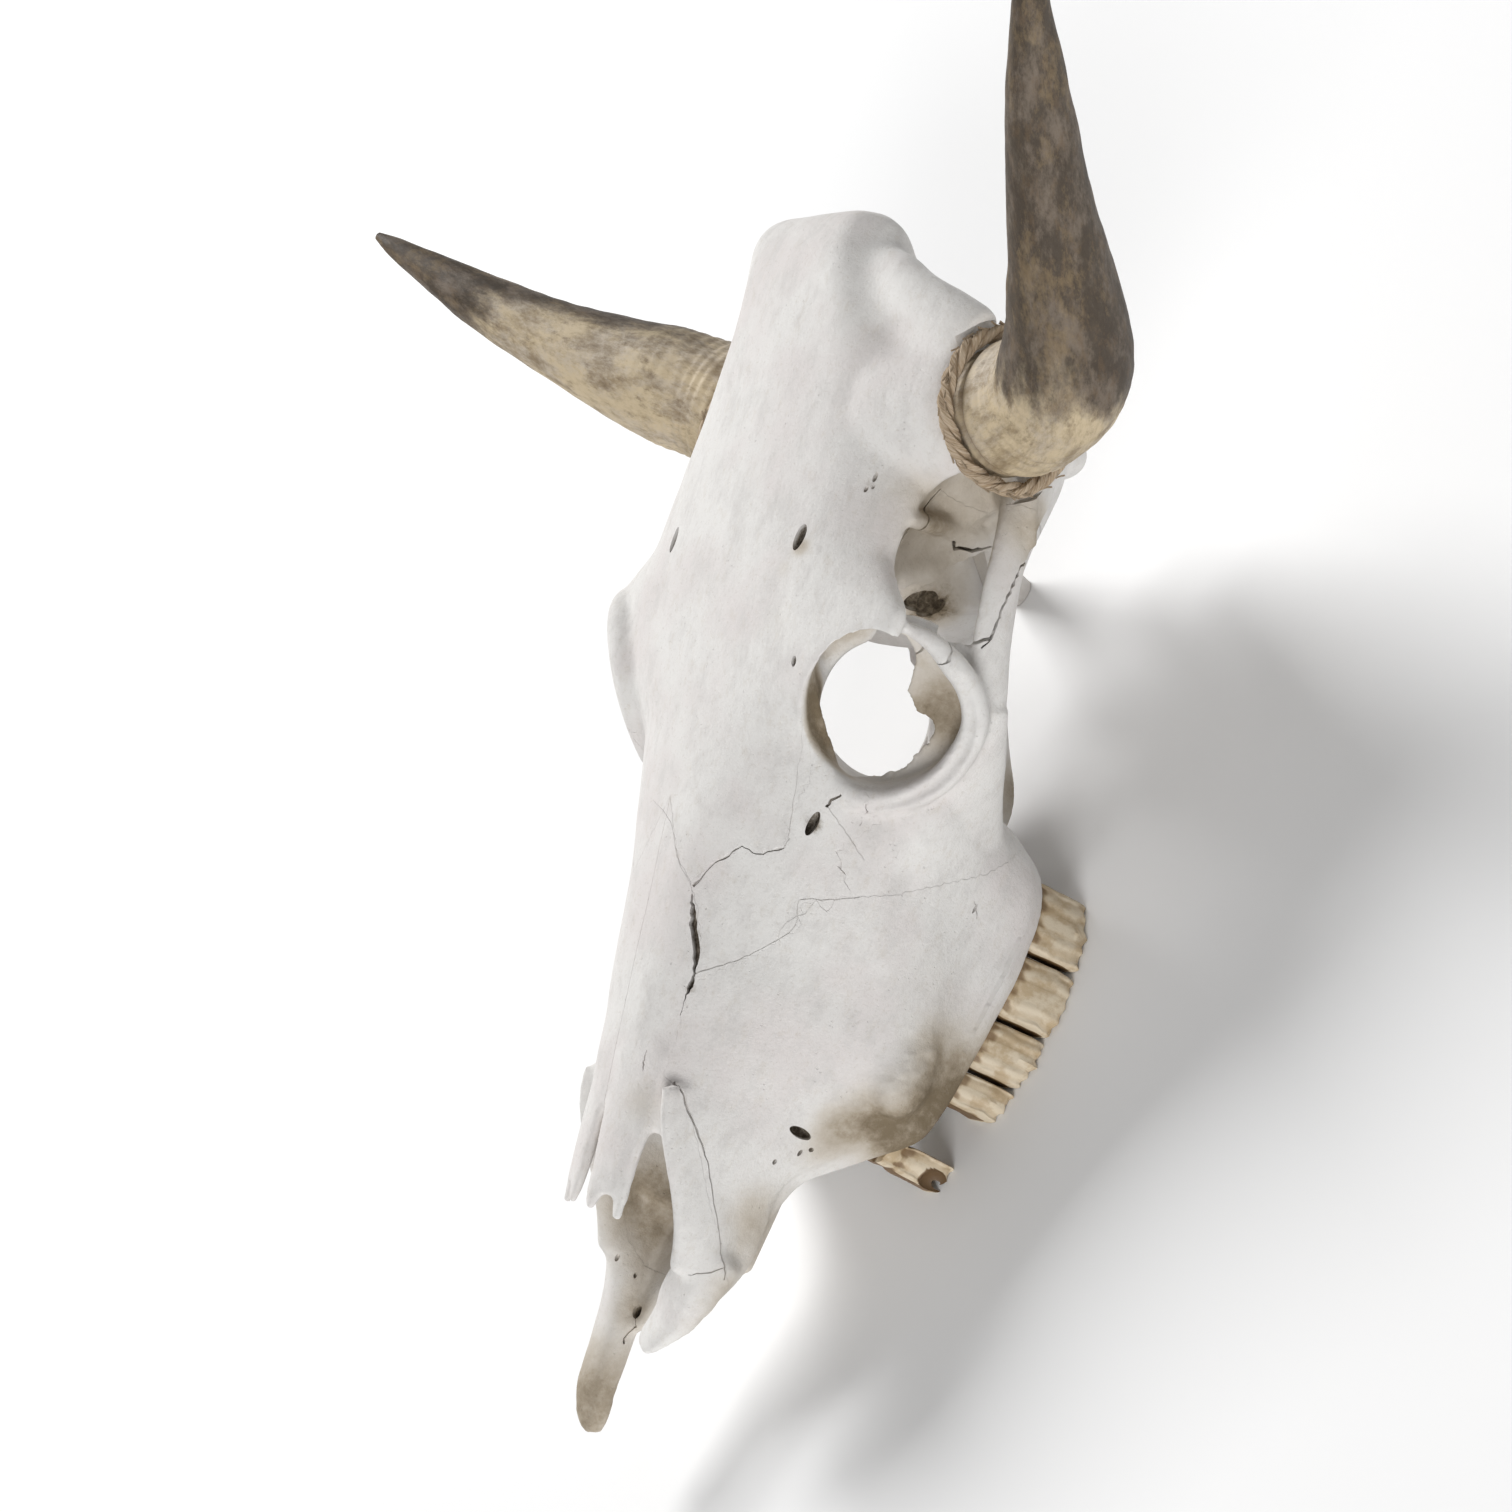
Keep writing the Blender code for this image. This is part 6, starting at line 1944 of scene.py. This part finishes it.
# ---- parting the body into bones
@dataclass(frozen=True)
class Seams:
    """The outlines along which the body is parted, traced on the left and mirrored."""

    gap: float = 0.12
    nasal: Keys = ((0.2, 60), (27, 60), (27, 112), (23.5, 130), (23.5, 146), (25, 165), (27, 182), (24, 197),
                   (20, 206), (13, 213), (5, 227), (0.2, 236))
    nasal_under: Keys = ((60, 102), (128, 109), (165, 119), (206, 132), (236, 144))
    lacrimal: Keys = (
        (26, 170, 129), (44, 193, 120), (54, 206, 116), (56, 216, 118), (62, 221, 112), (67, 225, 106),
        (64, 238, 121), (76, 258, 125), (71, 270, 142), (66, 276, 160), (59, 261, 152), (53, 243, 139),
        (51, 231, 134), (42, 225, 139), (37, 226, 143), (28, 217, 145), (20, 207, 146), (24.5, 197, 139),
        (27.5, 182, 133),
    )
    lacrimal_depth: float = 15.0
    frontal_root: Keys = (
        (0, 237), (5, 228), (13, 214), (20, 207), (28, 217), (37, 226), (42, 225), (51, 231), (53, 243), (58, 259),
        (58, 346),
    )
    frontal_side: Keys = (
        (257, 158), (272, 152), (300, 140), (322, 140), (336, 142), (347, 150.5), (385, 150.5), (389, 124),
        (450, 124), (453, 150), (457, 178), (500, 178), (500, 260), (257, 260),
    )
    # Outlines of Y and Z that are pushed through along X: between which X, and the pitch, depth
    # and seed of the broken line, where it is one.
    sideways: Sequence = (
        ("incisive", (0.2, 70), (3.4, 0.35, 4),
            ((-8, 20), (68, 20), (70, 55), (76, 66), (88, 75), (97, 86), (109, 96), (122, 107), (134, 119),
             (136, 135), (-8, 135))),
        ("zygomatic", (62, 130), (2.2, 0.6, 5),
            ((259, 126), (247, 124), (238, 120), (225, 107), (234, 93), (245, 80), (260, 60), (284, 38), (330, 60),
             (378, 110), (366, 121), (346, 124), (331, 124), (326, 129), (322, 139), (292, 139))),
        ("occipital", (-130, 130), (2.4, 0.6, 7),
            ((408, -10), (408, 123), (450.5, 123), (453.5, 150), (457.5, 177), (500, 177), (500, -10))),
        ("temporal", (28, 130), (2.6, 0.4, 6),
            ((323.5, 139), (327, 129.5), (332, 125), (346, 125), (366, 122), (380, 111), (345, 60), (345, 40),
             (407, 40), (407, 149.5), (346, 149.5), (336, 141))),
        ("palatine", (-34, 34), (),
            ((258, 0), (258, 50), (290, 52), (317, 70), (317, 0))),
        ("sphenoid", (-48, 48), (),
            ((317, 0), (317, 149.5), (407, 149.5), (407, 0))),
    )

    def sloped(self, outline: np.ndarray, depth: float, wider: float, side: Side) -> Object:
        """A cell over an outline seen from above, its floor a plane a set depth under the outline.

        Args:
            outline: X, Y and Z of the outline.
            depth: How deep the cell goes.
            wider: How far its walls stand outside it.
            side: Left or right.

        Returns:
            A closed mesh.
        """
        terms = np.column_stack((np.ones(len(outline)), outline[:, 0], outline[:, 1]))
        fit = np.linalg.lstsq(terms, outline[:, 2], rcond=None)[0]
        cell = prism(outline, 'Z', 0, 260, wider, side.value)
        points = points_of(cell)
        low = points[:, 2] < 100
        floor = fit[0] + fit[1] * np.abs(points[:, 0]) + fit[2] * points[:, 1] - depth - wider * 1.3
        points[:, 2] = np.where(low, floor, points[:, 2])
        set_points(cell, points)
        return cell

    def forehead(self, wider: float) -> Object:
        """Room of the forehead bone.

        Args:
            wider: How far its walls stand outside it.

        Returns:
            A closed mesh.
        """
        root = list(self.frontal_root) + [(-x, y) for x, y in self.frontal_root[:0:-1]]
        cell = prism(jagged(root, 2.2, 0.5, 8), 'Z', 118, 260, wider)
        for low_y, high_y, low_z, high_z in ((345, 455, 150, 262), (440, 520, 178, 264)):
            box = [(-60, low_y), (60, low_y), (60, high_y), (-60, high_y)]
            combine(cell, prism(box, 'Z', low_z, high_z, wider), 'UNION')
        for side in Side:
            combine(cell, prism(jagged(self.frontal_side, 2.4, 0.4, 9), 'X', 54, 130, wider, side.value), 'UNION')
        return cell

    def cell(self, name: str, wider: float, side: Side) -> Object:
        """Room of one bone.

        Args:
            name: The bone, without its side.
            wider: How far its walls stand outside it.
            side: Which bone of a pair; left for a single one.

        Returns:
            A closed mesh.
        """
        if name == "nasal":
            outline = jagged(self.nasal, 3.0, 0.35, 2)
            under = [along(self.nasal_under, y) for y in outline[:, 1]]
            return self.sloped(np.column_stack((outline, under)), 0.0, wider, side)
        if name == "lacrimal":
            return self.sloped(jagged(self.lacrimal, 2.1, 0.75, 3), self.lacrimal_depth, wider, side)
        if name == "frontal":
            return self.forehead(wider)
        (low, high), jag, outline = next(row[1:] for row in self.sideways if row[0] == name)
        if name == "incisive":
            low += wider        # its wall at the midline stays in place
        return prism(jagged(outline, *jag) if jag else outline, 'X', low, high, wider, side.value)

    def take(self, body: Object, name: str, side: Side) -> Object:
        """Cuts one bone out of the body and leaves a seam round it.

        Args:
            body: The body, which loses the bone.
            name: The bone, without its side.
            side: Which bone of a pair; left for a single one.

        Returns:
            The bone.
        """
        bone = copy_of(body)
        combine(bone, self.cell(name, 0.0, side), 'INTERSECT')
        combine(body, self.cell(name, self.gap, side))
        return largest(bone)

    def part(self, body: Object) -> dict[str, Object]:
        """Parts the whole body.

        Args:
            body: The weathered body; it is used up.

        Returns:
            Each bone by its node's name.
        """
        bones = {}
        for name in ("nasal", "incisive", "lacrimal", "zygomatic", "occipital", "frontal", "temporal",
                     "palatine", "sphenoid"):
            if name in ("occipital", "frontal", "palatine", "sphenoid"):
                bones[name] = self.take(body, name, Side.LEFT)
            else:
                for side in Side:
                    bones[f"{name}_{side.word}"] = self.take(body, name, side)
        edge = self.gap / 2
        half = [(edge, -50), (200, -50), (200, 600), (edge, 600)]
        for side in Side:
            bone = combine(copy_of(body), prism(half, 'Z', -50, 300, 0, side.value), 'INTERSECT')
            bones[f"maxilla_{side.word}"] = largest(bone)
        remove(body)
        return bones


class Skull:
    """All the bones, grown as one body."""

    def __init__(self) -> None:
        """Gathers the forms and their weather."""
        self.face = Face()
        self.forehead = Forehead()
        self.case = BrainCase()
        self.socket = EyeSocket()
        self.muzzle = Muzzle()
        self.arch = CheekArch()
        self.base = SkullBase()
        self.horns = [Horn(side) for side in Side]
        self.weather = Weather()
        self.seams = Seams()

    def grow(self) -> tuple[Object, BVHTree, list]:
        """The whole body in fine grain, its surface before the cracks and holes, and what cut them.

        Returns:
            The body, its surface before it was cracked, and the box and surface of each cut.
        """
        blocks = [self.face.block(), self.forehead.plate()] + self.case.blocks()
        for side in Side:
            blocks += self.case.side_blocks(side) + [self.arch.cheek_knob(side)]
        blocks += [horn.core() for horn in self.horns]
        body = grow(join(blocks))
        cuts = [self.base.gap(), self.case.spinal_opening()] + self.face.hollows()
        for side in Side:
            cuts += self.arch.hollows(side)
        for tool in cuts:
            combine(body, tool)
        bars = self.base.bars()
        for side in Side:
            bars += [self.socket.ring(side)] + self.arch.bars(side) + self.muzzle.nose_end(side)
            bars += self.muzzle.front_bone(side) + self.arch.ledge_bars(side)
        body = grow(join([body] + bars))
        for side in Side:
            combine(body, self.socket.opening(side))
            combine(body, self.base.sight_way(side))
            combine(body, self.socket.furrow(side))
        body = join([body] + [self.socket.torn_wall(side) for side in Side])
        grow(body)
        apply(body, 'SMOOTH', factor=0.5, iterations=3)
        self.weather.soften(body, self.weather.soft, self.weather.soft_rounds)
        self.weather.soften(body, self.weather.crown, self.weather.crown_rounds)
        self.weather.shape(body)
        for horn in self.horns:
            combine(body, horn.clearance())
        floor = [(-120, -40), (120, -40), (120, 520), (-120, 520)]
        combine(body, prism(floor, 'Z', -30, 0))
        body = largest(body)
        surface, walls = self.weather.cut(body)
        return body, surface, walls

    def build(self) -> None:
        """Makes, parts, paints and settles every bone."""
        body, surface, walls = self.grow()
        log.info("body grown: %d vertices", len(body.data.vertices))
        sky = Sky(body)
        log.info("rays cast")
        bone_paint = BoneFinish().material()
        for name, bone in self.seams.part(body).items():
            self.weather.paint(bone, self.socket, sky, surface, walls)
            bone.data.materials.clear()
            bone.data.materials.append(bone_paint)
            settle(bone, name + "_bone", "bone", name)

    def dress(self) -> None:
        """Makes the teeth, horn sheaths and rope rings."""
        tooth_paint, horn_paint, rope_paint = ToothFinish().material(), HornFinish().material(), RopeFinish().material()
        for horn in self.horns:
            word = horn.side.word
            pieces = ((ToothRow(horn.side).build(), tooth_paint, f"teeth_{word}", "bone", f"maxilla_{word}"),
                      (horn.sheath(), horn_paint, f"sheath_{word}", "horn", f"horn_{word}"),
                      (RopeRing(horn).build(), rope_paint, f"cord_{word}", "rope", f"rope_{word}"))
            for piece, paint, name, slot, node in pieces:
                piece.data.materials.clear()
                piece.data.materials.append(paint)
                settle(piece, name, slot, node)


# ---- the studio
@dataclass(frozen=True)
class Studio:
    """Floor, lights and camera."""

    camera_at: Point = (906.7, 0.9, 707.4)
    right: Point = (0.5723, 0.4171, -0.706)
    down: Point = (0.0447, -0.8756, -0.481)
    ahead: Point = (-0.8188, 0.2437, -0.5198)
    focal_share: float = 2709 / 1512      # focal length over picture width
    sensor: float = 36.0
    floor_size: float = 12.0
    floor_drop: float = 0.0002
    floor_paint: tuple = (0.93, 0.93, 0.93, 1)
    world_light: float = 0.26
    # Azimuth and elevation in degrees, distance and edge in metres, and watts.
    lamps: Sequence = (("key", 155, 41, 6.0, 2.6, 352), ("fill", -50, 19, 6.0, 2.6, 212))

    def floor(self) -> None:
        """A plain pale floor, just under the soles."""
        bpy.ops.mesh.primitive_plane_add(size=self.floor_size, location=(0, 0, -self.floor_drop))
        floor = bpy.context.object
        floor.name = "floor"
        floor.data.materials.append(Paint("floor", self.floor_paint, 0.9, 0.2).material)

    def light(self, name: str, azimuth: float, elevation: float, distance: float, size: float, watts: float) -> None:
        """One soft lamp that faces the skull.

        Args:
            name: The lamp's name.
            azimuth: Its direction round the skull, in degrees.
            elevation: Its angle above the floor, in degrees.
            distance: How far away it is, in metres.
            size: Edge of its square, in metres.
            watts: Its strength.
        """
        a, e = math.radians(azimuth), math.radians(elevation)
        way = Vector((math.cos(a) * math.cos(e), math.sin(a) * math.cos(e), math.sin(e))).normalized()
        bpy.ops.object.light_add(type='AREA', location=Vector((0, 0, 0.1)) + way * distance)
        lamp = bpy.context.object
        lamp.name = name
        lamp.rotation_euler = (-way).to_track_quat('-Z', 'Y').to_euler()
        lamp.data.shape = 'SQUARE'
        lamp.data.size = size
        lamp.data.energy = watts

    def camera(self) -> None:
        """The camera at the picture's angle."""
        bpy.ops.object.camera_add()
        camera = bpy.context.object
        place = (np.array(self.camera_at) + np.array(ROW_SHIFT)) * MM
        right, down, ahead = (np.array(v) for v in (self.right, self.down, self.ahead))
        turn = np.eye(4)
        turn[:3, 0], turn[:3, 1], turn[:3, 2], turn[:3, 3] = right, -down, -ahead, place
        camera.matrix_world = Matrix(turn.tolist())
        camera.data.sensor_width = self.sensor
        camera.data.lens = self.focal_share * self.sensor
        bpy.context.scene.camera = camera

    def build(self) -> None:
        """Sets the whole studio up."""
        self.floor()
        world = bpy.data.worlds.new("studio")
        world.use_nodes = True
        sky = world.node_tree.nodes["Background"].inputs
        sky["Color"].default_value = (1, 1, 1, 1)
        sky["Strength"].default_value = self.world_light
        bpy.context.scene.world = world
        for lamp in self.lamps:
            self.light(*lamp)
        self.camera()
        bpy.context.scene.view_settings.view_transform = 'Standard'


def main() -> None:
    """Builds everything."""
    logging.basicConfig(level=logging.INFO, format="%(relativeCreated)d ms %(message)s")
    bpy.ops.object.select_all(action='DESELECT')
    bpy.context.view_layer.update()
    skull = Skull()
    skull.build()
    skull.dress()
    Studio().build()


if __name__ == "__main__":
    main()
